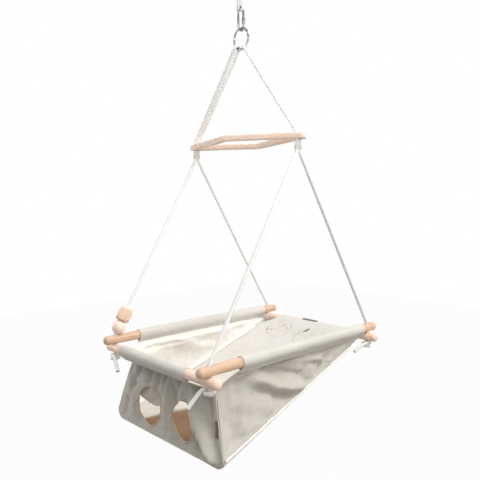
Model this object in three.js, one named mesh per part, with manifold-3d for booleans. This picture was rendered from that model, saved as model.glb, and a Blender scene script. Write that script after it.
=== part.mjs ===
// Hanging baby cradle: a canvas bag laced on four beech rods, hung by two ropes from a wooden
// spreader, a steel ring and a carabiner in a rope loop.
// Millimetres. +X runs from the foot end to the head end, +Y from the near side to the far side, +Z up.
// The origin is the point where the top loop hangs on its hook.
import * as THREE from 'three';
import { mergeVertices } from 'three/addons/utils/BufferGeometryUtils.js';
import Module from 'manifold-3d';

const wasm = await Module();
wasm.setup();

// Clearances
const seatGap = 0.3;
const cutOverrun = 6;

// Frame of four rods, measured between the centres of the corner holes
const frameLength = 670;
const frameWidth = 460;
const rodDiameter = 28;
const rodOverhang = 40;
const rodDomeLength = 10;
const rodHoleDiameter = 14.5;
const rodSides = 20;
const domeSteps = 4;

// Suspension ropes
const ropeDiameter = 11;
const ropeSides = 8;
const wrapSteps = 12;
const tailReach = 36;
const tailDrop = 46;
const neckLength = 36;
const neckBandHeight = 12;
const neckBandWall = 1;

// Spreader board and the way up to the ring
const boardHeight = 605;
const boardThickness = 16;
const boardEdgeRounding = 2.5;
const boardHoleSpacing = 464;
const boardHoleMargin = 0.5;
const boardTipReach = 14;
const boardTipRadius = 13;
const boardHalfWidth = 78;
const boardSideRadius = 16;
const boardRailWidth = 17;
const boardInnerTipRadius = 6;
const boardInnerInset = 36;
const boardTilt = THREE.MathUtils.degToRad(6.5);
const ringAboveBoard = 317;

// Ring, carabiner and hanging loop
const ringWireDiameter = 6.5;
const ringMeanRadius = 32;
const carabinerWire = 7;
const carabinerBend = 10.5;
const carabinerSpan = 70;
const noseLength = 6;
const gateRootLength = 5;
const gateGap = 0.9;
const hingeSlot = 3.8;
const hingeTongue = 3.0;
const hingePinDiameter = 2.4;
const hingePinHole = 3.0;
const lockBore = 7.8;
const lockDiameter = 11;
const lockLength = 17;
const lockRise = 5;
const loopRopeDiameter = 11;
const loopInnerLength = 45;
const loopWhippingLength = 9;
const loopWhippingWall = 0.9;

// Beads on the far foot rope
const sphereBeadDiameter = 43;
const facetedBeadWidth = 42;
const facetedBeadEdgeShare = 0.91;
const facetedBeadCornerShare = 0.8;
const beadHoleDiameter = 14.5;
const beadSeat = 0.4;

// Canvas bag: cloth, sleeves round the rods, and the places of its corners
const clothThickness = 2.4;
const nearSleeveEnds = [-229, 304];
const farSleeveEnds = [-252, 304];
const footSleeveEnds = [-136, 186];
const headSleeveEnds = [-158, 150];
const sideStitchDrop = 44;
const footStitchDrop = 32;
const headStitchDrop = 38;
const bagDepth = 258;
const bagFootInset = 20;
const bagFootHalfWidth = 258;
const bagHeadInset = 79;
const bagHeadHalfWidth = 226;
const seamTopInset = 44;
const seamTopHalfWidth = 202;
const seamTopDrop = 66;
const seamBulge = 4;
const rimRise = 25;
const rimRiseHead = 9;
const baseSag = 7;
const rimRoundingShare = 0.1;
const sideFoldDepth = 9;
const gatherDepth = 3;
const gatherCount = 6;

// Leg holes in the foot panel
const legHoleHeight = 120;
const legHoleDrop = 183;
const nearLegHole = { place: -74, width: 88, tilt: THREE.MathUtils.degToRad(24) };
const farLegHole = { place: 88, width: 126, tilt: THREE.MathUtils.degToRad(14) };
const legHoleNarrowShare = 0.1;
const bindingDiameter = 4.4;
const flapWidth = 138;
const flapLength = 64;
const flapArc = 14;
const flapSetBack = 4;

// Shares of the rope's diameter that shape the knots, the bends and the strands
const tailOutShares = [1.7, 0.8];
const tailDropShares = [0.35, 0.04];
const spiralTurnShare = 0.8;
const spiralSagShare = 0.2;
const knotTopShare = 0.6;
const exitRiseShare = 0.1;
const bendShares = [0.5, 1.5];
const neckRiseShares = [0.6, 1.6];
const slotRiseShare = 0.4;
const slotDropShare = 0.3;
const neckBandRiseShare = 0.7;

// Shares of the way from the spreader to the ring, of the hinge pin's hole, and of the cloth and its folds
const strandShares = [0.04, 0.3, 0.65, 0.94];
const tongueShare = 1.8;
const foldWaveShares = [1.35, 1.1, 0.3];
const gatherReachShare = 0.42;
const gatherFadeShare = 1.5;
const sideSeamShare = 0.6;
const footSeamShares = [0.3, 0.75];
const cornerStationShares = [0.3, 0.65];

// Cloth labels, both blank
const sideTagReach = 14;
const sideTagHeight = 44;
const sideTagDrop = 162;
const sideTagThickness = 1.2;
const headTagLength = 70;
const headTagWidth = 12;
const headTagThickness = 1;
const headTagPlace = 12;
const headTagAngle = THREE.MathUtils.degToRad(22);

// Heights worked out from the hanging point down
const loopBendRadius = (carabinerWire + loopRopeDiameter) / 2 + seatGap;
const carabinerTopZ = -loopInnerLength + carabinerWire / 2 + seatGap;
const carabinerBottomZ = carabinerTopZ - carabinerSpan;
const ringTopZ = carabinerBottomZ + (carabinerWire + ringWireDiameter) / 2 + seatGap;
const ringZ = ringTopZ - ringMeanRadius;
const boardZ = ringZ - ringAboveBoard;
const longRodZ = boardZ - boardHeight;
const shortRodZ = longRodZ - rodDiameter - seatGap;
const strandOffset = (ropeDiameter + seatGap) / 2 + seatGap;

// Finishes
const beech = new THREE.MeshStandardMaterial({ color: 0xe2b48c, roughness: 0.6, metalness: 0 });
const beechBoard = new THREE.MeshStandardMaterial({ color: 0xd9a878, roughness: 0.6, metalness: 0 });
const rope = new THREE.MeshStandardMaterial({ color: 0xf4f3f1, roughness: 0.85, metalness: 0 });
const steel = new THREE.MeshStandardMaterial({ color: 0xb9bcc0, roughness: 0.22, metalness: 1 });
const canvas = new THREE.MeshStandardMaterial({ color: 0xdcd8c9, roughness: 0.92, metalness: 0 });
const binding = new THREE.MeshStandardMaterial({ color: 0xd8c3a4, roughness: 0.9, metalness: 0 });
const tag = new THREE.MeshStandardMaterial({ color: 0x5a4038, roughness: 0.8, metalness: 0 });

const cradle = new THREE.Group();

function addPiece(name, geometry, material, parent = cradle) {
  const mesh = new THREE.Mesh(geometry, material);
  mesh.name = name;
  parent.add(mesh);
  return mesh;
}

// Solids for cutting and joining
function toSolid(geometry) {
  const bare = new THREE.BufferGeometry();
  bare.setAttribute('position', geometry.getAttribute('position').clone());
  if (geometry.index) bare.setIndex(geometry.index.clone());
  const merged = mergeVertices(bare, 1e-4);
  return new wasm.Manifold(new wasm.Mesh({
    numProp: 3,
    vertProperties: Float32Array.from(merged.getAttribute('position').array),
    triVerts: Uint32Array.from(merged.index.array),
  }));
}

function toGeometry(solid) {
  const mesh = solid.getMesh();
  const geometry = new THREE.BufferGeometry();
  geometry.setAttribute('position', new THREE.BufferAttribute(mesh.vertProperties, 3));
  geometry.setIndex(new THREE.BufferAttribute(mesh.triVerts, 1));
  geometry.computeVertexNormals();
  return geometry;
}

function cut(geometry, ...tools) {
  return toGeometry(tools.reduce((solid, tool) => solid.subtract(toSolid(tool)), toSolid(geometry)));
}

function join(geometry, ...others) {
  return toGeometry(others.reduce((solid, other) => solid.add(toSolid(other)), toSolid(geometry)));
}

// A rope or wire: a round section drawn through its route, one ring at each point
class Route extends THREE.CatmullRomCurve3 {
  getPointAt(t, target) { return this.getPoint(t, target); }
  getTangentAt(t, target) { return this.getTangent(t, target); }
}

function drawnTube(points, diameter, sides) {
  const section = new THREE.Shape();
  section.absarc(0, 0, diameter / 2, 0, 2 * Math.PI);
  return new THREE.ExtrudeGeometry(section, {
    steps: points.length - 1,
    curveSegments: sides / 2,
    extrudePath: new Route(points, false, 'centripetal'),
  });
}

function closedTube(points, diameter, sides) {
  const route = new Route(points, true, 'centripetal');
  return new THREE.TubeGeometry(route, points.length, diameter / 2, sides, true);
}

function drill(diameter, length, sides = 16) {
  return new THREE.CylinderGeometry(diameter / 2, diameter / 2, length, sides);
}

// Rods: domed dowels with a rope hole through each end
function dowelProfile(length) {
  const half = length / 2;
  const radius = rodDiameter / 2;
  const end = Array.from({ length: domeSteps + 1 }, (_, k) => {
    const angle = (k / domeSteps) * (Math.PI / 2);
    return [radius * Math.sin(angle), half - rodDomeLength * (1 - Math.cos(angle))];
  });
  const lower = end.map(([r, y]) => new THREE.Vector2(r, -y));
  const upper = end.map(([r, y]) => new THREE.Vector2(r, y)).reverse();
  return [...lower, ...upper];
}

function rod(holeSpacing) {
  const body = new THREE.LatheGeometry(dowelProfile(holeSpacing + 2 * rodOverhang), rodSides);
  body.rotateZ(-Math.PI / 2);
  const holes = [-1, 1].map((end) => drill(rodHoleDiameter, rodDiameter + cutOverrun)
    .rotateX(Math.PI / 2)
    .translate(end * holeSpacing / 2, 0, 0));
  return cut(body, ...holes);
}

function addRods() {
  for (const [name, side] of [['long_rod_near', -1], ['long_rod_far', 1]]) {
    addPiece(name, rod(frameLength), beech).position.set(0, side * frameWidth / 2, longRodZ);
  }
  for (const [name, end] of [['foot_rod', -1], ['head_rod', 1]]) {
    const mesh = addPiece(name, rod(frameWidth), beech);
    mesh.position.set(end * frameLength / 2, 0, shortRodZ);
    mesh.rotation.z = Math.PI / 2;
  }
}

// Spreader: a rhombus-shaped frame of board with rounded corners, a rope slot at each tip
function rhombusOutline(tipCentre, tipRadius, sideCentre, sideRadius, target) {
  const lean = Math.atan2(sideCentre, tipCentre);
  const wrap = Math.asin((sideRadius - tipRadius) / Math.hypot(tipCentre, sideCentre));
  const turn = lean - wrap;
  const half = Math.PI / 2;
  target.absarc(sideCentre, 0, sideRadius, -turn, turn);
  target.absarc(0, tipCentre, tipRadius, turn, 2 * half - turn);
  target.absarc(-sideCentre, 0, sideRadius, 2 * half - turn, 2 * half + turn);
  target.absarc(0, -tipCentre, tipRadius, 2 * half + turn, 4 * half - turn);
  return target;
}

function stadium(halfGap, radius, target) {
  target.absarc(halfGap, 0, radius, -Math.PI / 2, Math.PI / 2);
  target.absarc(-halfGap, 0, radius, Math.PI / 2, 3 * Math.PI / 2);
  return target;
}

function strandSlot(y) {
  const outline = stadium(strandOffset, ropeDiameter / 2 + boardHoleMargin, new THREE.Shape());
  const depth = boardThickness + cutOverrun;
  const slot = new THREE.ExtrudeGeometry(outline, { depth, bevelEnabled: false, curveSegments: 6 });
  return slot.translate(0, y, -depth / 2);
}

function addSpreader() {
  const edge = boardEdgeRounding;
  const tipCentre = boardHoleSpacing / 2 + boardTipReach;
  const sideCentre = boardHalfWidth - boardSideRadius;
  const tipRadius = boardTipRadius - edge;
  const sideRadius = boardSideRadius - edge;
  const outline = rhombusOutline(tipCentre, tipRadius, sideCentre, sideRadius, new THREE.Shape());
  const innerSide = boardHalfWidth - boardRailWidth - boardInnerTipRadius;
  const innerTip = boardHoleSpacing / 2 - boardInnerInset;
  const innerRadius = boardInnerTipRadius + edge;
  outline.holes.push(rhombusOutline(innerTip, innerRadius, innerSide, innerRadius, new THREE.Path()));
  const board = new THREE.ExtrudeGeometry(outline, {
    depth: boardThickness - 2 * edge,
    bevelThickness: edge,
    bevelSize: edge,
    bevelSegments: 2,
    curveSegments: 5,
  });
  board.translate(0, 0, edge - boardThickness / 2).rotateY(boardTilt);
  const slots = [-1, 1].map((end) => strandSlot(end * boardHoleSpacing / 2));
  addPiece('spreader', cut(board, ...slots), beechBoard).position.z = boardZ;
}

// Ropes. A knot under a corner: the strand drops through the middle, comes out at the bottom,
// climbs once round itself and leaves as the tail in the wanted direction.
function knotPoints(x, y, tailAngle, turn) {
  const top = shortRodZ - rodDiameter / 2 - seatGap;
  const wrapRadius = ropeDiameter + seatGap;
  const climb = ropeDiameter + seatGap;
  const high = top - ropeDiameter / 2;
  const low = high - climb;
  const heading = new THREE.Vector2(Math.cos(tailAngle), Math.sin(tailAngle));
  const endAngle = tailAngle - turn * Math.PI / 2;
  const at = (radius, angle, z) => new THREE.Vector3(
    x + radius * Math.cos(angle), y + radius * Math.sin(angle), z);
  const start = at(wrapRadius, endAngle, high);
  const along = (reach, drop) => new THREE.Vector3(
    start.x + reach * heading.x, start.y + reach * heading.y, high - drop);
  const points = [
    along(ropeDiameter * tailOutShares[0] + tailReach, tailDrop),
    along(ropeDiameter * tailOutShares[0] + tailReach / 2, tailDrop / 2),
    along(ropeDiameter * tailOutShares[0], ropeDiameter * tailDropShares[0]),
    along(ropeDiameter * tailOutShares[1], ropeDiameter * tailDropShares[1]),
  ];
  for (let k = 0; k <= wrapSteps; k += 1) {
    const share = k / wrapSteps;
    points.push(at(wrapRadius, endAngle - turn * share * 2 * Math.PI, high - share * climb));
  }
  const spiralSteps = 4;
  for (let k = 1; k <= spiralSteps; k += 1) {
    const share = k / spiralSteps;
    const angle = endAngle - turn * (2 * Math.PI + share * spiralTurnShare * Math.PI);
    const sag = ropeDiameter * spiralSagShare * Math.sin(share * Math.PI);
    points.push(at(wrapRadius * (1 - share), angle, low - sag));
  }
  points.push(new THREE.Vector3(x, y, low + ropeDiameter * knotTopShare));
  return points;
}

// The straight run of one rope leg, from where it leaves the long rod to the neck under the spreader
function ropeLead(end, side) {
  const exitZ = longRodZ + rodDiameter / 2 + ropeDiameter * exitRiseShare;
  const neckZ = boardZ - boardThickness / 2 - neckLength;
  const foot = new THREE.Vector3(end * frameLength / 2, side * frameWidth / 2, exitZ);
  const neckBottom = new THREE.Vector3(end * strandOffset, side * boardHoleSpacing / 2, neckZ);
  const lead = neckBottom.clone().sub(foot).normalize();
  return { foot, neckBottom, lead };
}

// From a corner up through both rods and slanting to the neck under the spreader
function risePoints(end, side) {
  const { foot, neckBottom, lead } = ropeLead(end, side);
  const onSlant = (distance) => foot.clone().addScaledVector(lead, distance);
  const length = neckBottom.distanceTo(foot);
  const points = [
    foot.clone().setZ(shortRodZ),
    foot.clone().setZ(foot.z - ropeDiameter * bendShares[0]),
    ...bendShares.map((share) => onSlant(ropeDiameter * share)),
  ];
  const runSteps = 6;
  for (let k = 1; k < runSteps; k += 1) points.push(onSlant(length * k / runSteps));
  points.push(onSlant(length - ropeDiameter * bendShares[1]));
  points.push(onSlant(length - ropeDiameter * bendShares[0]));
  for (const share of neckRiseShares) points.push(neckBottom.clone().setZ(neckBottom.z + ropeDiameter * share));
  return points;
}

// From the neck through the spreader's slot to the ring, on one side of its wire
function strandPoints(end, side) {
  const slotY = side * boardHoleSpacing / 2;
  const lean = Math.atan2(boardHoleSpacing / 2, ringAboveBoard);
  const outward = new THREE.Vector3(0, side * Math.sin(lean), -Math.cos(lean));
  const onWire = new THREE.Vector3(0, 0, ringZ).addScaledVector(outward, ringMeanRadius);
  const hookRadius = (ringWireDiameter + ropeDiameter) / 2 + seatGap;
  const slotTop = new THREE.Vector3(end * strandOffset, slotY, boardZ + boardThickness / 2 + ropeDiameter * slotRiseShare);
  const contact = onWire.clone().setX(end * hookRadius);
  const strand = [
    slotTop.clone().setZ(boardZ),
    slotTop.clone().setZ(slotTop.z - ropeDiameter * slotDropShare),
    ...strandShares.map((share) => slotTop.clone().lerp(contact, share)),
  ];
  return { strand, onWire, outward, hookRadius };
}

function ropeRoute(side, footTail, headTail) {
  const footX = -frameLength / 2;
  const headX = frameLength / 2;
  const y = side * frameWidth / 2;
  const footHalf = [...knotPoints(footX, y, ...footTail), ...risePoints(-1, side)];
  const headHalf = [...knotPoints(headX, y, ...headTail), ...risePoints(1, side)];
  const { strand, onWire, outward, hookRadius } = strandPoints(-1, side);
  const hook = [];
  const hookSteps = 6;
  for (let k = 0; k <= hookSteps; k += 1) {
    const angle = Math.PI * k / hookSteps;
    hook.push(onWire.clone()
      .addScaledVector(outward, -hookRadius * Math.sin(angle))
      .setX(-hookRadius * Math.cos(angle)));
  }
  const back = strandPoints(1, side).strand;
  return [...footHalf, ...strand, ...hook, ...back.reverse(), ...headHalf.reverse()];
}

const tailAngles = {
  farFoot: THREE.MathUtils.degToRad(256),
  farHead: THREE.MathUtils.degToRad(160),
  nearFoot: THREE.MathUtils.degToRad(154),
  nearHead: THREE.MathUtils.degToRad(186),
};

function addRopes() {
  const far = ropeRoute(1, [tailAngles.farFoot, 1], [tailAngles.farHead, 1]);
  const near = ropeRoute(-1, [tailAngles.nearFoot, 1], [tailAngles.nearHead, -1]);
  addPiece('rope_far', drawnTube(far, ropeDiameter, ropeSides), rope);
  addPiece('rope_near', drawnTube(near, ropeDiameter, ropeSides), rope);
}

// Neck bands: sewn bands that hold the two strands together under the spreader
function addNeckBands() {
  const inner = ropeDiameter / 2 + seatGap;
  const outline = stadium(strandOffset, inner + neckBandWall, new THREE.Shape());
  outline.holes.push(stadium(strandOffset, inner, new THREE.Path()));
  const band = new THREE.ExtrudeGeometry(outline, { depth: neckBandHeight, bevelEnabled: false, curveSegments: 8 });
  const bottom = boardZ - boardThickness / 2 - neckLength + ropeDiameter * neckBandRiseShare;
  for (const [name, side] of [['neck_band_near', -1], ['neck_band_far', 1]]) {
    addPiece(name, band, rope).position.set(0, side * boardHoleSpacing / 2, bottom);
  }
}

// Ring: a welded steel ring in the YZ plane
function addRing() {
  const ring = new THREE.TorusGeometry(ringMeanRadius, ringWireDiameter / 2, 10, 36);
  ring.rotateY(Math.PI / 2);
  addPiece('hanging_ring', ring, steel).position.z = ringZ;
}

// Carabiner: an oval hook in the XZ plane with a hinged gate and a sliding lock on its +X side
function carabinerRoute() {
  const points = [];
  const arcSteps = 8;
  const topArc = carabinerTopZ - carabinerBend;
  const bottomArc = carabinerBottomZ + carabinerBend;
  points.push(new THREE.Vector3(carabinerBend, 0, topArc - noseLength));
  for (let k = 0; k <= arcSteps; k += 1) {
    const angle = Math.PI * k / arcSteps;
    points.push(new THREE.Vector3(carabinerBend * Math.cos(angle), 0, topArc + carabinerBend * Math.sin(angle)));
  }
  for (let k = 0; k <= arcSteps; k += 1) {
    const angle = Math.PI + Math.PI * k / arcSteps;
    points.push(new THREE.Vector3(carabinerBend * Math.cos(angle), 0, bottomArc + carabinerBend * Math.sin(angle)));
  }
  points.push(new THREE.Vector3(carabinerBend, 0, bottomArc + gateRootLength));
  return points;
}

function addCarabiner() {
  const pinZ = carabinerBottomZ + carabinerBend + gateRootLength - hingePinHole;
  const gateTop = carabinerTopZ - carabinerBend - noseLength - gateGap;
  const slotDepth = hingePinHole * 2;
  const slot = new THREE.BoxGeometry(carabinerWire + cutOverrun, hingeSlot, slotDepth * 2);
  slot.translate(carabinerBend, 0, pinZ + slotDepth / 2);
  const pinHole = drill(hingePinHole, carabinerWire + cutOverrun, 12).translate(carabinerBend, 0, pinZ);
  const body = drawnTube(carabinerRoute(), carabinerWire, 12);
  addPiece('carabiner_body', cut(body, slot, pinHole), steel);

  const barrelBottom = carabinerBottomZ + carabinerBend + gateRootLength + gateGap;
  const barrelLength = gateTop - barrelBottom;
  const barrel = drill(carabinerWire, barrelLength, 16).rotateX(Math.PI / 2);
  barrel.translate(carabinerBend, 0, barrelBottom + barrelLength / 2);
  const tongueTop = barrelBottom + hingePinHole / 2;
  const tongueBottom = pinZ - hingePinHole / 2 - seatGap * 2;
  const tongue = new THREE.BoxGeometry(hingePinHole * tongueShare, hingeTongue, tongueTop - tongueBottom);
  tongue.translate(carabinerBend, 0, (tongueTop + tongueBottom) / 2);
  addPiece('carabiner_gate', cut(join(barrel, tongue), pinHole), steel);

  const pin = drill(hingePinDiameter, carabinerWire - seatGap, 12).translate(carabinerBend, 0, pinZ);
  addPiece('gate_pin', pin, steel);

  const lockProfile = [
    new THREE.Vector2(lockBore / 2, -lockLength / 2),
    new THREE.Vector2(lockDiameter / 2 - seatGap, -lockLength / 2),
    new THREE.Vector2(lockDiameter / 2, -lockLength / 2 + seatGap),
    new THREE.Vector2(lockDiameter / 2, lockLength / 2 - seatGap),
    new THREE.Vector2(lockDiameter / 2 - seatGap, lockLength / 2),
    new THREE.Vector2(lockBore / 2, lockLength / 2),
    new THREE.Vector2(lockBore / 2, -lockLength / 2),
  ];
  const lock = new THREE.LatheGeometry(lockProfile, 18).rotateX(Math.PI / 2);
  const lockZ = barrelBottom + lockRise + lockLength / 2;
  addPiece('carabiner_lock_sleeve', lock, steel).position.set(carabinerBend, 0, lockZ);
}

// Hanging loop: an endless rope loop that carries the carabiner, its splice whipped with thread
function addLoop() {
  const points = [];
  const arcSteps = 6;
  const topCentre = -carabinerWire / 2 - seatGap;
  const bottomCentre = carabinerTopZ;
  const straight = topCentre - bottomCentre;
  for (let k = 0; k <= arcSteps; k += 1) {
    const angle = Math.PI * k / arcSteps;
    points.push(new THREE.Vector3(0, loopBendRadius * Math.cos(angle), topCentre + loopBendRadius * Math.sin(angle)));
  }
  points.push(new THREE.Vector3(0, -loopBendRadius, topCentre - straight / 2));
  for (let k = 0; k <= arcSteps; k += 1) {
    const angle = Math.PI + Math.PI * k / arcSteps;
    points.push(new THREE.Vector3(0, loopBendRadius * Math.cos(angle), bottomCentre + loopBendRadius * Math.sin(angle)));
  }
  points.push(new THREE.Vector3(0, loopBendRadius, topCentre - straight / 2));
  addPiece('hanging_loop', closedTube(points, loopRopeDiameter, 10), rope);

  const inner = loopRopeDiameter / 2 + seatGap;
  const outer = inner + loopWhippingWall;
  const half = loopWhippingLength / 2;
  const profile = [[inner, -half], [outer, -half], [outer, half], [inner, half], [inner, -half]];
  const whipping = new THREE.LatheGeometry(profile.map(([r, z]) => new THREE.Vector2(r, z)), 16);
  whipping.rotateX(Math.PI / 2);
  addPiece('loop_whipping', whipping, rope).position.set(0, loopBendRadius, topCentre - half - seatGap);
}

// A cube with its twelve edges and eight corners cut flat; a share of 1 leaves them sharp
function facetedBlock() {
  const width = facetedBeadWidth;
  const edgeWidth = Math.SQRT2 * width * facetedBeadEdgeShare;
  const cornerReach = 3 * width / 2 * facetedBeadCornerShare;
  const turned = () => new THREE.BoxGeometry(edgeWidth, edgeWidth, 2 * width).rotateZ(Math.PI / 4);
  const limits = [
    new THREE.OctahedronGeometry(cornerReach),
    turned(),
    turned().rotateX(Math.PI / 2),
    turned().rotateY(Math.PI / 2),
  ];
  const block = toSolid(new THREE.BoxGeometry(width, width, width));
  return toGeometry(limits.reduce((solid, limit) => solid.intersect(toSolid(limit)), block));
}

// Beads threaded on the rope at the far foot corner
function addBeads() {
  const { foot, lead } = ropeLead(-1, 1);
  const radius = sphereBeadDiameter / 2;
  const bore = beadHoleDiameter / 2;
  const turn = new THREE.Quaternion().setFromUnitVectors(new THREE.Vector3(0, 1, 0), lead);
  const startAngle = Math.asin(bore / radius);
  const arcSteps = 12;
  const profile = Array.from({ length: arcSteps + 1 }, (_, k) => {
    const angle = startAngle + (Math.PI - 2 * startAngle) * k / arcSteps;
    return new THREE.Vector2(radius * Math.sin(angle), -radius * Math.cos(angle));
  });
  profile.push(profile[0].clone());
  const sphereAt = (radius + beadSeat - (foot.z - longRodZ - rodDiameter / 2)) / lead.z;
  const sphere = addPiece('sphere_bead', new THREE.LatheGeometry(profile, 22), beech);
  sphere.position.copy(foot).addScaledVector(lead, sphereAt);
  sphere.quaternion.copy(turn);

  const drilled = cut(facetedBlock(), drill(beadHoleDiameter, facetedBeadWidth + cutOverrun));
  const halfHeight = facetedBeadWidth / 2;
  const touch = Math.sqrt(radius * radius - bore * bore);
  const bead = addPiece('faceted_bead', drilled, beech);
  bead.position.copy(foot).addScaledVector(lead, sphereAt + touch + beadSeat + halfHeight);
  bead.quaternion.copy(turn);
}

// Cloth: rows of points along one sheet, given its thickness on both faces and closed at the border
function clothSolid(rows, thickness = clothThickness) {
  const rowCount = rows.length;
  const columnCount = rows[0].length;
  const clampIndex = (k, count) => Math.min(Math.max(k, 0), count - 1);
  const point = (i, j) => rows[clampIndex(i, rowCount)][clampIndex(j, columnCount)];
  const positions = [];
  for (const face of [1, -1]) {
    for (let i = 0; i < rowCount; i += 1) {
      for (let j = 0; j < columnCount; j += 1) {
        const across = point(i, j + 1).clone().sub(point(i, j - 1));
        const down = point(i + 1, j).clone().sub(point(i - 1, j));
        const normal = across.cross(down).normalize();
        positions.push(...point(i, j).clone().addScaledVector(normal, face * thickness / 2).toArray());
      }
    }
  }
  const front = (i, j) => i * columnCount + j;
  const back = (i, j) => rowCount * columnCount + i * columnCount + j;
  const index = [];
  const quad = (a, b, c, d) => index.push(a, b, c, a, c, d);
  for (let i = 0; i < rowCount - 1; i += 1) {
    for (let j = 0; j < columnCount - 1; j += 1) {
      quad(front(i, j), front(i, j + 1), front(i + 1, j + 1), front(i + 1, j));
      quad(back(i, j), back(i + 1, j), back(i + 1, j + 1), back(i, j + 1));
    }
  }
  for (let j = 0; j < columnCount - 1; j += 1) {
    const last = rowCount - 1;
    quad(front(0, j + 1), front(0, j), back(0, j), back(0, j + 1));
    quad(front(last, j), front(last, j + 1), back(last, j + 1), back(last, j));
  }
  for (let i = 0; i < rowCount - 1; i += 1) {
    const last = columnCount - 1;
    quad(front(i, 0), front(i + 1, 0), back(i + 1, 0), back(i, 0));
    quad(front(i + 1, last), front(i, last), back(i, last), back(i + 1, last));
  }
  const geometry = new THREE.BufferGeometry();
  geometry.setAttribute('position', new THREE.Float32BufferAttribute(positions, 3));
  geometry.setIndex(index);
  geometry.computeVertexNormals();
  return geometry;
}

// The radius of a sleeve's corners, so that its flats just clear the rod
function sleeveRadius(drop, steps) {
  const snug = rodDiameter / 2 + seatGap + clothThickness / 2;
  const halfStep = (Math.PI - Math.acos(snug / drop)) / steps;
  return snug / Math.cos(halfStep);
}

// A sleeve seen end on: from the stitch line up round the rod and back, as [outward, down] steps
function sleeveProfile(drop, steps) {
  const radius = sleeveRadius(drop, steps);
  const tangent = Math.acos(radius / drop);
  const profile = [[-(clothThickness + seatGap), drop]];
  for (let k = 0; k <= steps; k += 1) {
    const angle = tangent + (2 * Math.PI - 2 * tangent) * k / steps;
    profile.push([-radius * Math.sin(angle), radius * Math.cos(angle)]);
  }
  return profile;
}

// A sheet stretched between four border curves
function coonsPatch(top, bottom, left, right) {
  return (u, v) => {
    const across = left(v).clone().multiplyScalar(1 - u).addScaledVector(right(v), u);
    const down = top(u).clone().multiplyScalar(1 - v).addScaledVector(bottom(u), v);
    const corners = top(0).clone().multiplyScalar((1 - u) * (1 - v))
      .addScaledVector(top(1), u * (1 - v))
      .addScaledVector(bottom(0), (1 - u) * v)
      .addScaledVector(bottom(1), u * v);
    return across.add(down).sub(corners);
  };
}

function line(from, to) {
  return (t) => from.clone().lerp(to, t);
}

// Bag measures shared by its sheets
const bagFootX = -frameLength / 2 + bagFootInset;
const bagHeadX = frameLength / 2 - bagHeadInset;
const bagFootZ = longRodZ - bagDepth;
const headSlope = Math.atan2(shortRodZ - bagFootZ, frameLength / 2 - bagFootX);

function baseZ(x) {
  return bagFootZ + (x - bagFootX) * Math.tan(headSlope);
}

function baseHalfWidth(x) {
  const share = (x - bagFootX) / (bagHeadX - bagFootX);
  return bagFootHalfWidth + (bagHeadHalfWidth - bagFootHalfWidth) * share;
}

function rimTop(x) {
  const share = (x - bagFootX) / (bagHeadX - bagFootX);
  return baseZ(x) + rimRise + (rimRiseHead - rimRise) * share;
}

// How far the base has turned up at a breadth: 0 over the floor, 1 at the top of the rim
function rimLift(breadth) {
  const inRim = Math.max(0, Math.abs(breadth) - 1 + rimRoundingShare) / rimRoundingShare;
  return 1 - Math.sqrt(1 - Math.min(inRim, 1) ** 2);
}

// The foot corner seam of one side, from its free top down to the rim of the base
function cornerSeam(side, shiftX, shiftY) {
  const top = new THREE.Vector3(-frameLength / 2 + seamTopInset, side * seamTopHalfWidth, longRodZ - seamTopDrop);
  const bottom = new THREE.Vector3(bagFootX, side * bagFootHalfWidth, rimTop(bagFootX));
  const middle = top.clone().lerp(bottom, 0.5);
  middle.x -= seamBulge;
  const shift = new THREE.Vector3(shiftX, side * shiftY, 0);
  return new THREE.QuadraticBezierCurve3(...[top, middle, bottom].map((point) => point.add(shift)));
}

// One end of a panel: the free edge from its sleeve to the top of the seam, then the seam
function panelEnd(start, seam, freeShare) {
  return (v) => (v < freeShare
    ? start.clone().lerp(seam.v0, v / freeShare)
    : seam.getPoint((v - freeShare) / (1 - freeShare)));
}

// Side panels: a sleeve on the long rod and a sheet that narrows from the foot to the head
const sideColumns = 20;
const sideRows = 7;
const sleeveSteps = 7;

function sideFold(u, v) {
  const [down, along, start] = foldWaveShares;
  const sway = Math.sin(2 * Math.PI * (down * v - along * u + start));
  return sideFoldDepth * sway * Math.sin(Math.PI * v) * (1 - u) * Math.min(1, 5 * u);
}

function addSidePanel(name, side, sleeveEnds) {
  const rodY = side * frameWidth / 2;
  const stitchZ = longRodZ - sideStitchDrop;
  const [footEnd, headEnd] = sleeveEnds;
  const stitchFoot = new THREE.Vector3(footEnd, rodY, stitchZ);
  const stitchHead = new THREE.Vector3(headEnd, rodY, stitchZ);
  const seam = cornerSeam(side, clothThickness * sideSeamShare, 0);
  const rimGap = seatGap + clothThickness / 2;
  seam.v2.z = rimTop(seam.v2.x) + rimGap;
  const rimFoot = seam.v2;
  const rimHead = new THREE.Vector3(bagHeadX, side * bagHeadHalfWidth, rimTop(bagHeadX) + rimGap + clothThickness);
  const left = panelEnd(stitchFoot, seam, 2 / sideRows);
  const patch = coonsPatch(line(stitchFoot, stitchHead), line(rimFoot, rimHead), left, line(stitchHead, rimHead));
  const profile = sleeveProfile(sideStitchDrop, sleeveSteps);
  const stations = Array.from({ length: sideColumns + 1 }, (_, j) => j / sideColumns);
  const rows = profile.map(([out, drop]) => stations.map((u) => new THREE.Vector3(
    footEnd + (headEnd - footEnd) * u, rodY + side * out, longRodZ - drop)));
  for (let i = 0; i <= sideRows; i += 1) {
    const v = i / sideRows;
    rows.push(stations.map((u) => {
      const point = patch(u, v);
      point.y += side * sideFold(u, v);
      return point;
    }));
  }
  addPiece(name, clothSolid(side > 0 ? rows : rows.map((row) => [...row].reverse())), canvas);
}

// Foot panel: a sleeve on the foot rod, gathers under it and two leg holes
const footColumns = 24;
const footRows = 9;

function gather(u, v) {
  return gatherDepth * Math.sin(2 * Math.PI * gatherCount * u) * Math.max(0, 1 - v / gatherReachShare) ** gatherFadeShare;
}

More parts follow.
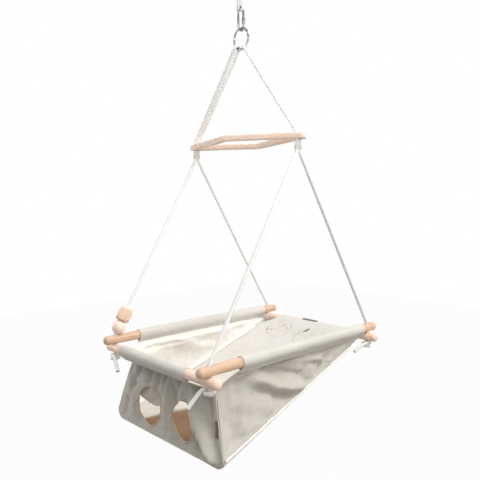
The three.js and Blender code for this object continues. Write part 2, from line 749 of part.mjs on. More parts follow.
function footPatch() {
  const x = -frameLength / 2;
  const stitchZ = shortRodZ - footStitchDrop;
  const [nearEnd, farEnd] = footSleeveEnds;
  const stitchNear = new THREE.Vector3(x, nearEnd, stitchZ);
  const stitchFar = new THREE.Vector3(x, farEnd, stitchZ);
  const border = (side, start) => {
    const [back, inward] = footSeamShares;
    const seam = cornerSeam(side, -clothThickness * back, -clothThickness * inward);
    return panelEnd(start, seam, 2 / footRows);
  };
  const left = border(-1, stitchNear);
  const right = border(1, stitchFar);
  const floorZ = bagFootZ - clothThickness / 2;
  const bottom = (u) => {
    const point = left(1).lerp(right(1), u);
    point.z = floorZ + (point.z - floorZ) * rimLift(2 * u - 1);
    return point;
  };
  return coonsPatch(line(stitchNear, stitchFar), bottom, left, right);
}

const footSurface = footPatch();

function footPoint(u, v) {
  const point = footSurface(u, v);
  point.x -= gather(u, v);
  return point;
}

// The place at a breadth and a height, lifted off the middle of the foot panel's sheet towards its outside
function onFootPanel(y, z, lift = 0) {
  let u = 0.5;
  let v = 0.5;
  const nudgeShare = 1e-3;
  const edgeShare = 0.002;
  let outward = null;
  for (let k = 0; k < 12; k += 1) {
    const here = footPoint(u, v);
    const alongU = footPoint(u + nudgeShare, v).sub(here).divideScalar(nudgeShare);
    const alongV = footPoint(u, v + nudgeShare).sub(here).divideScalar(nudgeShare);
    const miss = [y - here.y, z - here.z];
    const spread = alongU.y * alongV.z - alongV.y * alongU.z;
    outward = alongU.clone().cross(alongV).normalize();
    u += (miss[0] * alongV.z - miss[1] * alongV.y) / spread;
    v += (miss[1] * alongU.y - miss[0] * alongU.z) / spread;
    u = THREE.MathUtils.clamp(u, edgeShare, 1 - edgeShare);
    v = THREE.MathUtils.clamp(v, edgeShare, 1 - edgeShare);
  }
  return footPoint(u, v).addScaledVector(outward, lift);
}

// A leg hole's outline as [y, z] about its own centre, a little narrower at the bottom
function legHoleOutline({ place, width, tilt }, inset, count) {
  return Array.from({ length: count }, (_, k) => {
    const angle = 2 * Math.PI * k / count;
    const up = (legHoleHeight / 2 - inset) * Math.sin(angle);
    const narrow = 1 + legHoleNarrowShare * Math.sin(angle);
    const out = (width / 2 - inset) * Math.cos(angle) * narrow;
    const y = place + out * Math.cos(tilt) + up * Math.sin(tilt);
    const z = longRodZ - legHoleDrop + up * Math.cos(tilt) - out * Math.sin(tilt);
    return [y, z];
  });
}

function addFootPanel() {
  const x = -frameLength / 2;
  const [nearEnd, farEnd] = footSleeveEnds;
  const profile = sleeveProfile(footStitchDrop, sleeveSteps);
  const corner = cornerStationShares.map((share) => share / footColumns);
  const inner = Array.from({ length: footColumns - 1 }, (_, j) => (j + 1) / footColumns);
  const stations = [0, ...corner, ...inner, ...corner.map((share) => 1 - share).reverse(), 1];
  const rows = profile.map(([out, drop]) => stations.map((u) => new THREE.Vector3(
    x - out, nearEnd + (farEnd - nearEnd) * u, shortRodZ - drop)));
  for (let i = 0; i <= footRows; i += 1) rows.push(stations.map((u) => footPoint(u, i / footRows)));
  const holes = [nearLegHole, farLegHole].map((hole) => {
    const outline = legHoleOutline(hole, 0, 24).map(([y, z]) => new THREE.Vector2(y, z));
    const plug = new THREE.ExtrudeGeometry(new THREE.Shape(outline), { depth: 2 * rodDiameter, bevelEnabled: false });
    plug.applyMatrix4(new THREE.Matrix4().set(0, 0, 1, x - rodDiameter / 2, 1, 0, 0, 0, 0, 1, 0, 0, 0, 0, 0, 1));
    return plug;
  });
  addPiece('foot_panel', cut(clothSolid(rows), ...holes), canvas);
  for (const [name, hole] of [['leg_hole_binding_near', nearLegHole], ['leg_hole_binding_far', farLegHole]]) {
    const inset = bindingDiameter / 2 + seatGap;
    const route = legHoleOutline(hole, inset, 24).map(([y, z]) => onFootPanel(y, z));
    addPiece(name, closedTube(route, bindingDiameter, 6), binding);
  }
}

// Flap inside the far leg hole: a tab with a rounded lower edge that hangs behind its upper half
function addFlap() {
  const topZ = longRodZ - legHoleDrop + legHoleHeight / 2 + bindingDiameter * 2;
  const columns = 10;
  const rowCount = 8;
  const rows = [];
  for (let i = 0; i <= rowCount; i += 1) {
    const v = i / rowCount;
    const centre = farLegHole.place + farLegHole.tilt * (legHoleHeight / 2 - v * flapLength);
    rows.push(Array.from({ length: columns + 1 }, (_, j) => {
      const breadth = 2 * j / columns - 1;
      const drop = v * (flapLength - flapArc * breadth * breadth);
      const behind = clothThickness + seatGap + flapSetBack * Math.sqrt(v);
      return onFootPanel(centre + breadth * flapWidth / 2, topZ - drop, -behind);
    }));
  }
  addPiece('leg_hole_flap', clothSolid(rows), canvas);
}

// Base sheet: the floor of the bag, turned up at both sides, with a sleeve on the head rod
const baseStations = 11;
const baseHalfShares = [0, 0.3, 0.6, 0.9, 0.94, 0.97, 0.99, 1];
const baseShares = [...baseHalfShares.slice(1).reverse().map((share) => -share), ...baseHalfShares];

function addBaseSheet() {
  const rows = [];
  for (let i = 0; i <= baseStations; i += 1) {
    const share = i / baseStations;
    const x = THREE.MathUtils.lerp(bagFootX + clothThickness, bagHeadX, share);
    rows.push(baseShares.map((breadth) => {
      const sag = baseSag * Math.sin(Math.PI * share) * (1 - breadth ** 2);
      const z = baseZ(x) + (rimTop(x) - baseZ(x)) * rimLift(breadth) - sag;
      return new THREE.Vector3(x, baseHalfWidth(x) * breadth, z);
    }));
  }
  const [nearEnd, farEnd] = headSleeveEnds;
  const back = new THREE.Vector3(-Math.cos(headSlope), 0, -Math.sin(headSlope));
  const under = new THREE.Vector3(Math.sin(headSlope), 0, -Math.cos(headSlope));
  const rodCentre = new THREE.Vector3(frameLength / 2, 0, shortRodZ);
  const sleeveRow = ([out, drop]) => baseShares.map((breadth) => {
    const y = breadth < 0 ? -nearEnd * breadth : farEnd * breadth;
    return rodCentre.clone().addScaledVector(under, out).addScaledVector(back, drop).setY(y);
  });
  rows.push(sleeveRow([0, headStitchDrop]));
  const profile = sleeveProfile(headStitchDrop, sleeveSteps).reverse();
  for (const step of profile) rows.push(sleeveRow(step));
  addPiece('base_sheet', clothSolid(rows), canvas);
}

// Labels, both blank
function addTags() {
  const share = (sideTagDrop - seamTopDrop) / (bagDepth - rimRise - seamTopDrop);
  const anchor = cornerSeam(-1, 0, 0).getPoint(share);
  const lift = (clothThickness + sideTagThickness) / 2 + seatGap;
  const side = [0.5, 0, -0.5].map((up) => [0, 0.5, 1].map((along) => onFootPanel(
    anchor.y + 2 * clothThickness + sideTagReach * along, anchor.z + sideTagHeight * up, lift)));
  addPiece('side_tag', clothSolid(side, sideTagThickness), tag);

  const radius = sleeveRadius(headStitchDrop, sleeveSteps) + clothThickness / 2 + seatGap;
  const spread = headTagWidth / radius;
  const outline = new THREE.Shape();
  outline.absarc(0, 0, radius, -spread / 2, spread / 2, false);
  outline.absarc(0, 0, radius + headTagThickness, spread / 2, -spread / 2, true);
  const strip = new THREE.ExtrudeGeometry(outline, { depth: headTagLength, bevelEnabled: false, curveSegments: 4 });
  strip.translate(0, 0, -headTagLength / 2).rotateX(Math.PI / 2);
  const mesh = addPiece('head_tag', strip, tag);
  mesh.position.set(frameLength / 2, headTagPlace, shortRodZ);
  mesh.rotation.y = -Math.PI / 2 - headTagAngle;
}

addLoop();
addCarabiner();
addRing();
addRopes();
addNeckBands();
addSpreader();
addRods();
addBeads();
addSidePanel('near_side_panel', -1, nearSleeveEnds);
addSidePanel('far_side_panel', 1, farSleeveEnds);
addFootPanel();
addFlap();
addBaseSheet();
addTags();

export default cradle;
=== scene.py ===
# %% [markdown]
# # A hanging baby cradle
# A canvas bag hangs on a frame of four crossing beech rods. Two braided ropes run from the corners through
# a beech spreader to a steel ring, a carabiner and a rope loop. This script dresses the measured model of
# the cradle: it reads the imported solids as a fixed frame, in metres, and builds on them.
#
# The origin is the hanging point at the top, +X runs from the foot end to the head end, +Y from the near
# long side to the far one, and +Z up.

# %% Tools and the fixed frame
import math

import bmesh
import bpy
import numpy as np
from mathutils import Matrix, Vector, noise
from mathutils.geometry import delaunay_2d_cdt


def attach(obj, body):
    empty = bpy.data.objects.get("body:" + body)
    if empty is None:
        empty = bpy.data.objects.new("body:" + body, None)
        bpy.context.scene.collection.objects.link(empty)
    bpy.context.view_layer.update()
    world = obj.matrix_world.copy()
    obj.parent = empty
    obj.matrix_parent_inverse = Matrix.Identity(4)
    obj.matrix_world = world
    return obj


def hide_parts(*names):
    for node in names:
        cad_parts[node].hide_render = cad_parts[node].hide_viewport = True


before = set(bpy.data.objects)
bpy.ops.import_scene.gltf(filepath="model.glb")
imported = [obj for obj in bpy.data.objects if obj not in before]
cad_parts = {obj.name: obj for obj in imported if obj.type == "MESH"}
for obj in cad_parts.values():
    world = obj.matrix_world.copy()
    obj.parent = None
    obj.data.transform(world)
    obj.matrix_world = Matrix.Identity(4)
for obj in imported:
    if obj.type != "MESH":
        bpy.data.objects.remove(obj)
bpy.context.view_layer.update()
MM = 0.001
scene = bpy.context.scene


# %% Sizes shared by the pieces, in millimetres
FRAME_LENGTH = 670.0        # between the corner holes, along X
FRAME_WIDTH = 460.0         # between the corner holes, along Y
ROD = 28.0
ROD_OVERHANG = 40.0
LONG_ROD_Z = -1058.15
SHORT_ROD_Z = -1086.45
ROPE = 11.0
BOARD_Z = -453.15
BOARD_THICKNESS = 16.0
BOARD_HOLES = 464.0
NECK = 36.0
RING_Z = -136.15
RING_RADIUS = 32.0
RING_WIRE = 6.5
SEAT = 0.3                  # the small gap left wherever two pieces touch
STRAND = (ROPE + SEAT) / 2 + SEAT       # from the middle of two strands side by side to one strand's axis
NEAR, FAR = -1, 1
FOOT, HEAD = -1, 1


# %% [markdown]
# ## The camera
# The photograph was taken from a little above the frame, near the foot end, with a normal lens. Its place
# was worked out from the four rods: their real sizes are known, so one position and one focal length make
# their corners fall on the right pixels. A camera is placed by the three directions of its own axes.

# %% Camera
def place_camera(place_mm, right, up, forward, lens):
    """A camera at a place, turned to the three directions of its own axes, with a lens in millimetres."""
    camera = bpy.data.objects.new("camera", bpy.data.cameras.new("camera"))
    scene.collection.objects.link(camera)
    axes = Matrix((right, up, [-c for c in forward])).transposed().to_4x4()
    camera.matrix_world = Matrix.Translation(Vector(place_mm) * MM) @ axes
    camera.data.sensor_width = 36.0
    camera.data.lens = lens
    camera.data.clip_end = 50.0
    scene.camera = camera
    return camera


def camera_axes(yaw, pitch, roll):
    """Right, up and forward of a camera turned left from +X by yaw, lifted by pitch, then rolled."""
    yaw, pitch, roll = (math.radians(angle) for angle in (yaw, pitch, roll))
    forward = Vector((math.cos(yaw) * math.cos(pitch), math.sin(yaw) * math.cos(pitch), math.sin(pitch)))
    level = forward.cross(Vector((0, 0, 1))).normalized()
    upright = level.cross(forward)
    right = level * math.cos(roll) + upright * math.sin(roll)
    return right, right.cross(forward), forward


right, up, forward = camera_axes(47.67, -4.28, -0.75)
camera = place_camera((-1211.346, -1312.608, -624.92), right, up, forward, 42.418)
print("camera looks along", [round(c, 4) for c in forward])


# %% [markdown]
# ## Small tools for meshes
# Most pieces are worked out as points in millimetres, so one helper turns points and faces into an object
# in metres. Another sweeps a section along a path, which is how ropes, wires and bindings are made.

# %% Points to a mesh
def add_mesh(name, points_mm, faces, smooth=True, uv_mm=None):
    """An object at the origin from points in millimetres, with a UV for each point or each face corner."""
    mesh = bpy.data.meshes.new(name)
    mesh.from_pydata((np.asarray(points_mm, float) * MM).tolist(), [], faces)
    mesh.validate()
    if uv_mm is not None:
        layer = mesh.uv_layers.new(name="UVMap")
        uv_mm = np.asarray(uv_mm, float)
        if len(uv_mm) != len(mesh.loops):
            corners = np.zeros(len(mesh.loops), np.int64)
            mesh.loops.foreach_get("vertex_index", corners)
            uv_mm = uv_mm[corners]
        layer.data.foreach_set("uv", (uv_mm * MM).ravel())
    mesh.polygons.foreach_set("use_smooth", [smooth] * len(mesh.polygons))
    piece = bpy.data.objects.new(name, mesh)
    scene.collection.objects.link(piece)
    return piece


def unit(vectors):
    """The same directions, each one long."""
    vectors = np.asarray(vectors, float)
    return vectors / np.maximum(np.linalg.norm(vectors, axis=-1, keepdims=True), 1e-12)


print("3, 4 and 0 as a direction:", unit((3, 4, 0)))


# %% Smooth paths
def smooth_path(points, step, closed=False):
    """A centripetal spline through the points, read off again at even steps."""
    points = np.asarray(points, float)
    count = len(points)
    if closed:
        points = np.vstack([points[-1:], points, points[:2]])
    else:
        points = np.vstack([2 * points[0] - points[1], points, 2 * points[-1] - points[-2]])
        count -= 1
    curve = []
    for k in range(count):
        p0, p1, p2, p3 = points[k:k + 4]
        t1 = max(np.linalg.norm(p1 - p0), 1e-9) ** 0.5
        t2 = t1 + max(np.linalg.norm(p2 - p1), 1e-9) ** 0.5
        t3 = t2 + max(np.linalg.norm(p3 - p2), 1e-9) ** 0.5
        parts = max(2, int(np.linalg.norm(p2 - p1) / step * 2))
        for t in np.linspace(t1, t2, parts, endpoint=False):
            a1 = (t1 - t) / t1 * p0 + t / t1 * p1
            a2 = (t2 - t) / (t2 - t1) * p1 + (t - t1) / (t2 - t1) * p2
            a3 = (t3 - t) / (t3 - t2) * p2 + (t - t2) / (t3 - t2) * p3
            b1 = (t2 - t) / t2 * a1 + t / t2 * a2
            b2 = (t3 - t) / (t3 - t1) * a2 + (t - t1) / (t3 - t1) * a3
            curve.append((t2 - t) / (t2 - t1) * b1 + (t - t1) / (t2 - t1) * b2)
    curve.append(curve[0] if closed else points[-2])
    curve = np.array(curve)
    along = np.concatenate([[0], np.cumsum(np.linalg.norm(np.diff(curve, axis=0), axis=1))])
    even = np.linspace(0, along[-1], max(4, int(round(along[-1] / step))) + 1)
    path = np.stack([np.interp(even, along, curve[:, axis]) for axis in range(3)], axis=1)
    return (path[:-1] if closed else path), along[-1]


print("a bend through three points:", round(smooth_path([(0, 0, 0), (10, 5, 0), (20, 0, 0)], 1)[1], 1), "mm")


# %% Tubes along a path
def path_frames(path, closed=False):
    """The direction of a path at each point and two directions across it that never twist."""
    if closed:
        tangents = unit(np.roll(path, -1, axis=0) - np.roll(path, 1, axis=0))
    else:
        tangents = unit(np.gradient(path, axis=0))
    side = unit(np.cross(tangents[0], [0.13, 0.31, 0.94]))
    sides = [side]
    for k in range(1, len(path)):
        side = unit(sides[-1] - np.dot(sides[-1], tangents[k]) * tangents[k])
        sides.append(side)
    sides = np.array(sides)
    if closed:
        last = unit(sides[-1] - np.dot(sides[-1], tangents[0]) * tangents[0])
        across = np.cross(tangents[0], sides[0])
        twist = math.atan2(np.dot(last, across), np.dot(last, sides[0]))
        turn = -twist * np.arange(len(path)) / len(path)
        other = np.cross(tangents, sides)
        sides = sides * np.cos(turn)[:, None] + other * np.sin(turn)[:, None]
    return tangents, sides, np.cross(tangents, sides)


def sweep(name, path, radius_at, sides_count, closed=False):
    """A tube along a path; radius_at gives its radius for each ring and each angle round it."""
    _, first, second = path_frames(path, closed)
    angles = np.linspace(0, 2 * math.pi, sides_count, endpoint=False)
    step = np.linalg.norm(np.diff(path, axis=0), axis=1)
    along = np.concatenate([[0], np.cumsum(step)])
    radius = radius_at(along[:, None], angles[None, :]) * np.ones((len(path), sides_count))
    rings = (path[:, None, :] + radius[..., None] * (np.cos(angles)[None, :, None] * first[:, None, :]
             + np.sin(angles)[None, :, None] * second[:, None, :]))
    points = rings.reshape(-1, 3)
    ring_count = len(path)
    # Each face corner has its own UV, so the pattern also closes where the tube's first and last lines meet
    length = np.append(along, along[-1] + np.linalg.norm(path[0] - path[-1]))
    around = np.append(angles, 2 * math.pi) * radius.mean()
    faces, uv = [], []
    for k in range(ring_count if closed else ring_count - 1):
        nxt = (k + 1) % ring_count
        for j in range(sides_count):
            turn = (j + 1) % sides_count
            here, there = k * sides_count, nxt * sides_count
            faces.append((here + j, here + turn, there + turn, there + j))
            uv += [(length[k], around[j]), (length[k], around[j + 1]), (length[k + 1], around[j + 1]),
                   (length[k + 1], around[j])]
    if not closed:
        last = (ring_count - 1) * sides_count
        for cap in (range(sides_count - 1, -1, -1), range(last, last + sides_count)):
            faces.append(tuple(cap))
            uv += list((points[list(cap)] - points[cap[0]]) @ np.stack([first[0], second[0]], axis=1))
    return add_mesh(name, points, faces, uv_mm=uv)


up_a_pole, _, _ = path_frames(np.array([(0, 0, 0), (0, 0, 5), (0, 0, 10)], float))
print("a tube up a pole runs along", up_a_pole[0])


# %% [markdown]
# ## Light and floor
# The cradle hangs in soft studio light. The sky is bright above the near side and the head end and dim behind
# the foot, so the folds show. A large key lamp stands high on the near side, a small one past the far foot
# corner grazes the gathers, and a third with a narrow beam lifts the spreader and the ropes. The world is
# white only for rays that come from the camera or off polished metal, so the background is white while the
# cloth keeps its own tone.

# %% Node and colour helpers
def feed(tree, node, inputs):
    """Give a node's inputs values, or link to them other sockets or the first sockets of other nodes."""
    for socket, value in inputs.items():
        if isinstance(value, bpy.types.Node):
            value = value.outputs[0]
        if isinstance(value, bpy.types.NodeSocket):
            tree.links.new(value, node.inputs[socket])
        else:
            node.inputs[socket].default_value = value


def add_node(tree, kind, inputs=None, **options):
    """A node with the given inputs and options; a kind without the word Node belongs to shaders."""
    node = tree.nodes.new(kind if "Node" in kind else "ShaderNode" + kind)
    for option, value in options.items():
        setattr(node, option, value)
    feed(tree, node, inputs or {})
    return node


def maths(tree, operation, *values):
    return add_node(tree, "Math", dict(enumerate(values)), operation=operation)


def ramp(tree, value, stops):
    """A colour ramp with its stops given as pairs of a place and an sRGB colour."""
    node = add_node(tree, "ValToRGB", {"Fac": value})
    for k, (place, tone) in enumerate(stops):
        elements = node.color_ramp.elements
        element = elements[k] if k < 2 else elements.new(place)
        element.position, element.color = place, linear(tone)
    return node


def linear(hex_colour):
    """An sRGB colour such as "#e4ddce" as the linear colour that shaders work in."""
    channels = [int(hex_colour[k:k + 2], 16) / 255 for k in (1, 3, 5)]
    return [c / 12.92 if c <= 0.04045 else ((c + 0.055) / 1.055) ** 2.4 for c in channels] + [1.0]


print("white, as shaders read it:", linear("#ffffff"))


# %% Sky
def seen_directly(tree):
    """1 for camera, mirror and glass rays, 0 for the rays that carry light."""
    path = add_node(tree, "LightPath")
    glossy = maths(tree, "MAXIMUM", path.outputs["Is Camera Ray"], path.outputs["Is Glossy Ray"])
    return maths(tree, "MAXIMUM", glossy, path.outputs["Is Transmission Ray"])


def light_world(tone, dim, bright, from_where):
    """A sky of soft light that is bright on one side and dim on the other."""
    world = bpy.data.worlds.new("studio")
    world.use_nodes = True
    tree = world.node_tree
    tree.nodes.clear()
    sky = add_node(tree, "TexCoord")
    toward = add_node(tree, "VectorMath",
                      {0: sky.outputs["Generated"], 1: Vector(from_where).normalized()},
                      operation="DOT_PRODUCT")
    strength = add_node(tree, "MapRange",
                        {"Value": toward.outputs["Value"], "From Min": -0.45, "From Max": 0.75,
                         "To Min": dim, "To Max": bright}, interpolation_type="SMOOTHSTEP")
    soft = add_node(tree, "Background", {"Color": linear(tone), "Strength": strength})
    white = add_node(tree, "Background", {"Color": linear("#ffffff"), "Strength": 1.0})
    mix = add_node(tree, "MixShader", {0: seen_directly(tree), 1: soft, 2: white})
    add_node(tree, "OutputWorld", {"Surface": mix})
    scene.world = world


scene.view_settings.view_transform = "Standard"
light_world("#fffdfa", 0.05, 1.25, (0.5, -0.45, 0.7))
print("sky lights with", scene.world.name)


# %% Lamps
def add_lamp(name, place, aim, size, power, beam=180):
    """A round lamp in metres and watts, aimed at a place; a beam below 180 degrees narrows it."""
    data = bpy.data.lights.new(name, "AREA")
    data.shape = "DISK"
    data.size = size
    data.energy = power
    data.spread = math.radians(beam)
    lamp = bpy.data.objects.new(name, data)
    scene.collection.objects.link(lamp)
    direction = Vector(aim) - Vector(place)
    lamp.matrix_world = Matrix.Translation(place) @ direction.to_track_quat("-Z", "Y").to_matrix().to_4x4()
    print(name, "lamp,", power, "watts")


add_lamp("key", (-0.05, -2.1, 2.1), (0, 0, -1.15), 1.4, 58)
add_lamp("fill from the foot", (-0.9, 1.5, -0.8), (-0.3, 0, -1.15), 0.5, 9)
add_lamp("fill on the spreader and ropes", (-0.9, -0.9, -0.15), (0, 0, -0.25), 0.5, 0.65, 55)


# %% Floor
def lay_floor(height, reach):
    """A studio floor that looks white; its own grey keeps it from throwing light back up at the bag."""
    corners = [(x * reach, y * reach, height) for x, y in ((-1, -1), (1, -1), (1, 1), (-1, 1))]
    floor = add_mesh("floor", corners, [(0, 1, 2, 3)], smooth=False)
    material = bpy.data.materials.new("matt white studio floor")
    material.use_nodes = True
    tree = material.node_tree
    tree.nodes.clear()
    paper = add_node(tree, "BsdfPrincipled", {"Base Color": linear("#918f8c"), "Roughness": 0.9})
    glow = add_node(tree, "Emission", {"Color": linear("#ffffff"), "Strength": 1.0})
    share = maths(tree, "MULTIPLY", seen_directly(tree), 0.97)
    mix = add_node(tree, "MixShader", {0: share, 1: paper, 2: glow})
    add_node(tree, "OutputMaterial", {"Surface": mix})
    floor.data.materials.append(material)


lay_floor(-2100, 6000)
print("floor 2.1 m below the hanging point")


# %% [markdown]
# ## Wood, rope, steel and cloth
# Each finish is a small tree of nodes. Noise stretched along one axis is enough for wood grain; the weave
# of cloth and the braid of rope follow each piece's own UV map, which is kept in real metres, so thread
# spacings can be written as real sizes. Each finish starts with the same Principled shader.

# %% Material helper
def new_finish(name, roughness, **sockets):
    """A material with one Principled shader; returns it, its tree, the shader and its coordinates."""
    material = bpy.data.materials.new(name)
    material.use_nodes = True
    tree = material.node_tree
    tree.nodes.clear()
    values = {"Roughness": roughness}
    values.update({socket.replace("_", " "): value for socket, value in sockets.items()})
    shader = add_node(tree, "BsdfPrincipled", values)
    add_node(tree, "OutputMaterial", {"Surface": shader})
    return material, tree, shader, add_node(tree, "TexCoord").outputs


# %% [markdown]
# Oiled beech is pale and close-grained, sanded smooth, and neither matt nor glossy. A photo of wood would
# show its edges and repeat, so the grain is noise in space, stretched along the piece. A Mapping node turns
# it to the piece's own length.

# %% Oiled beech
def oiled_beech(name, turn, centre, tones):
    """Turned and sanded beech: fine streaks along the grain and the short dark flecks of its rays."""
    material, tree, shader, where = new_finish(name, 0.55, Coat_Weight=0.08, Coat_Roughness=0.4)
    grain = add_node(tree, "Mapping",
                     {"Vector": where["Object"], "Location": centre, "Rotation": turn},
                     vector_type="TEXTURE")
    # Growth rings 3 mm apart, drawn out 18 times along the grain
    rings = add_node(tree, "Mapping", {"Vector": grain, "Scale": (14, 260, 260)})
    streaks = add_node(tree, "TexNoise",
                       {"Vector": rings, "Scale": 1.0, "Detail": 5.0, "Roughness": 0.62, "Distortion": 0.5})
    # Ray flecks 0.5 mm wide and 3 mm long, drawn twice as coarse so that they show
    rays = add_node(tree, "Mapping", {"Vector": grain, "Scale": (170, 950, 950)})
    flecks = add_node(tree, "TexVoronoi", {"Vector": rays, "Scale": 1.0})
    dark, middle, light = tones
    wood = ramp(tree, streaks, [(0.28, dark), (0.72, light), (0.5, middle)])
    marks = ramp(tree, flecks, [(0.12, "#a8764e"), (0.3, "#ffffff")])
    shown = add_node(tree, "Mix", {"Factor": 0.3, 6: wood, 7: marks}, data_type="RGBA", blend_type="MULTIPLY")
    relief = add_node(tree, "Bump", {"Height": streaks, "Strength": 0.12, "Distance": 0.0004})
    feed(tree, shader, {"Base Color": shown.outputs[2], "Normal": relief})
    return material


RIGHT_ANGLE = math.pi / 2
# Lit and shaded copies of one beech: the long rods, which take the most light, are painted darker, and the
# short rods and the spreader board, which stand more in shade, are painted paler
beech_along_x = oiled_beech("oiled beech, grain lengthways", (0, 0, 0), (0, 0.23, -1.058),
                            ("#c9a283", "#d8b79a", "#e2c7ae"))
beech_along_y = oiled_beech("oiled beech, grain across", (0, 0, RIGHT_ANGLE), (-0.335, 0, -1.086),
                            ("#f0cbb2", "#f9dcc8", "#fee9da"))
beech_board = oiled_beech("planed beech board", (0, 0, RIGHT_ANGLE), (0, 0, -0.453),
                          ("#f3d2b8", "#fbe1cd", "#ffeee0"))
beech_pale = oiled_beech("pale beech of the ball", (0.3, 0.4, 0.2), (-0.32, 0.23, -1.02),
                         ("#f9dac6", "#fee7d7", "#fff1e6"))
beech_bead = oiled_beech("beech of the cut bead", (0, -1.028, 0), (-0.3, 0.23, -0.986),
                         ("#e2bda1", "#efd2bb", "#f5dfcc"))
print("five beech finishes, each with", len(beech_board.node_tree.nodes), "nodes")


# %% [markdown]
# The rope is soft cotton braid, which looks matt and a little quilted. Two sets of slanting lanes give the
# strands, and a chequered choice between them lets each strand go over and under the others.


# %% Braided cotton rope
def braided_cotton(name, tone, shade, diameter):
    """Soft cotton braid: two sets of strands that pass over and under each other, so a matt, pillowy skin."""
    material, tree, shader, where = new_finish(name, 0.85, Sheen_Weight=0.25, Sheen_Roughness=0.5)
    parts = add_node(tree, "SeparateXYZ", {"Vector": where["UV"]})
    around = math.pi * diameter
    # Six strands each way and a lay of three diameters: about 5.5 mm a strand
    wind = maths(tree, "MULTIPLY", parts.outputs["Y"], 6 / around)
    climb = maths(tree, "MULTIPLY", parts.outputs["X"], 6 / (3 * diameter))
    crowns, cells = [], []
    for way in ("ADD", "SUBTRACT"):
        lane = maths(tree, way, wind, climb)
        cell = maths(tree, "FLOOR", lane)
        phase = maths(tree, "SUBTRACT", lane, cell)
        crowns.append(maths(tree, "SINE", maths(tree, "MULTIPLY", phase, math.pi)))
        cells.append(cell)
    over = maths(tree, "FLOORED_MODULO", maths(tree, "ADD", *cells), 2.0)
    strand = add_node(tree, "Mix", {0: over, 2: crowns[0], 3: crowns[1]}, data_type="FLOAT")
    # Yarns within a strand, 0.9 mm thick
    fibres = add_node(tree, "TexNoise",
                      {"Vector": where["UV"], "Scale": 900.0, "Detail": 3.0, "Roughness": 0.6})
    height = maths(tree, "MULTIPLY_ADD", fibres, 0.1, strand)
    relief = add_node(tree, "Bump", {"Height": height, "Strength": 0.06, "Distance": 0.0006})
    # Painted shade: the colour darkens from each strand's crown into the crevices between the strands
    colour = ramp(tree, strand, [(0.1, shade), (0.6, tone)])
    feed(tree, shader, {"Base Color": colour, "Normal": relief})
    return material


cotton_rope = braided_cotton("braided cotton rope", "#f5f5f4", "#eeedeb", ROPE * MM)
print("rope finish,", len(cotton_rope.node_tree.nodes), "nodes")


# %% [markdown]
# Threads, tape, labels and melted rope ends are too small for a weave to show, so mottled noise is enough.

# %% Threads, tape and labels
def plain_fibre(name, tone, dark, roughness, sheen, scale):
    """Thread, tape or a melted end: mottled, with fibres of the given spacing in its bump."""
    material, tree, shader, where = new_finish(name, roughness, Sheen_Weight=sheen)
    fibres = add_node(tree, "TexNoise",
                      {"Vector": where["Object"], "Scale": scale, "Detail": 4.0, "Roughness": 0.7})
    colour = ramp(tree, fibres, [(0.3, dark), (0.7, tone)])
    relief = add_node(tree, "Bump", {"Height": fibres, "Strength": 0.35, "Distance": 0.0004})
    feed(tree, shader, {"Base Color": colour, "Normal": relief})
    return material


rope_end = plain_fibre("fused rope end", "#e6d2b4", "#cbb08c", 0.5, 0.0, 900.0)
thread = plain_fibre("waxed whipping thread", "#f2efe9", "#d9d3c8", 0.6, 0.1, 1500.0)
tan_tape = plain_fibre("tan cotton bias tape", "#d9c5a6", "#bda582", 0.85, 0.2, 700.0)
stitch_thread = plain_fibre("cream sewing thread", "#efe7d8", "#d6cab4", 0.6, 0.1, 1500.0)
brown_satin = plain_fibre("brown woven satin label", "#5c4238", "#42302a", 0.5, 0.3, 1100.0)
print("rope end, threads, tape and label finishes")


# %% [markdown]
# The ring and the carabiner are plated steel, polished but handled: one broad noise dulls the mirror in
# places, as fingers and rubbing do, and darkens its colour there as painted reflection of dark surroundings.

# %% Steel
def polished_steel(name, tone, roughness):
    """Polished, plated steel: sharp reflections, dulled where it is handled, with darker patches of painted
    reflection.
    """
    material, tree, shader, where = new_finish(name, roughness, Metallic=1.0)
    wear_and_painted_reflection = add_node(tree, "TexNoise", {"Vector": where["Object"], "Scale": 55.0, "Detail": 4.0})
    # Painted reflection: the colour darkens where the noise is low, standing in for dark things seen in the
    # mirror
    colour = ramp(tree, wear_and_painted_reflection, [(0.36, "#737475"), (0.62, tone)])
    dull = add_node(tree, "MapRange",
                    {"Value": wear_and_painted_reflection, "To Min": roughness - 0.06, "To Max": roughness + 0.1})
    feed(tree, shader, {"Base Color": colour, "Roughness": dull})
    return material


steel = polished_steel("polished zinc-plated steel", "#c6c6c7", 0.14)
print("steel finish")
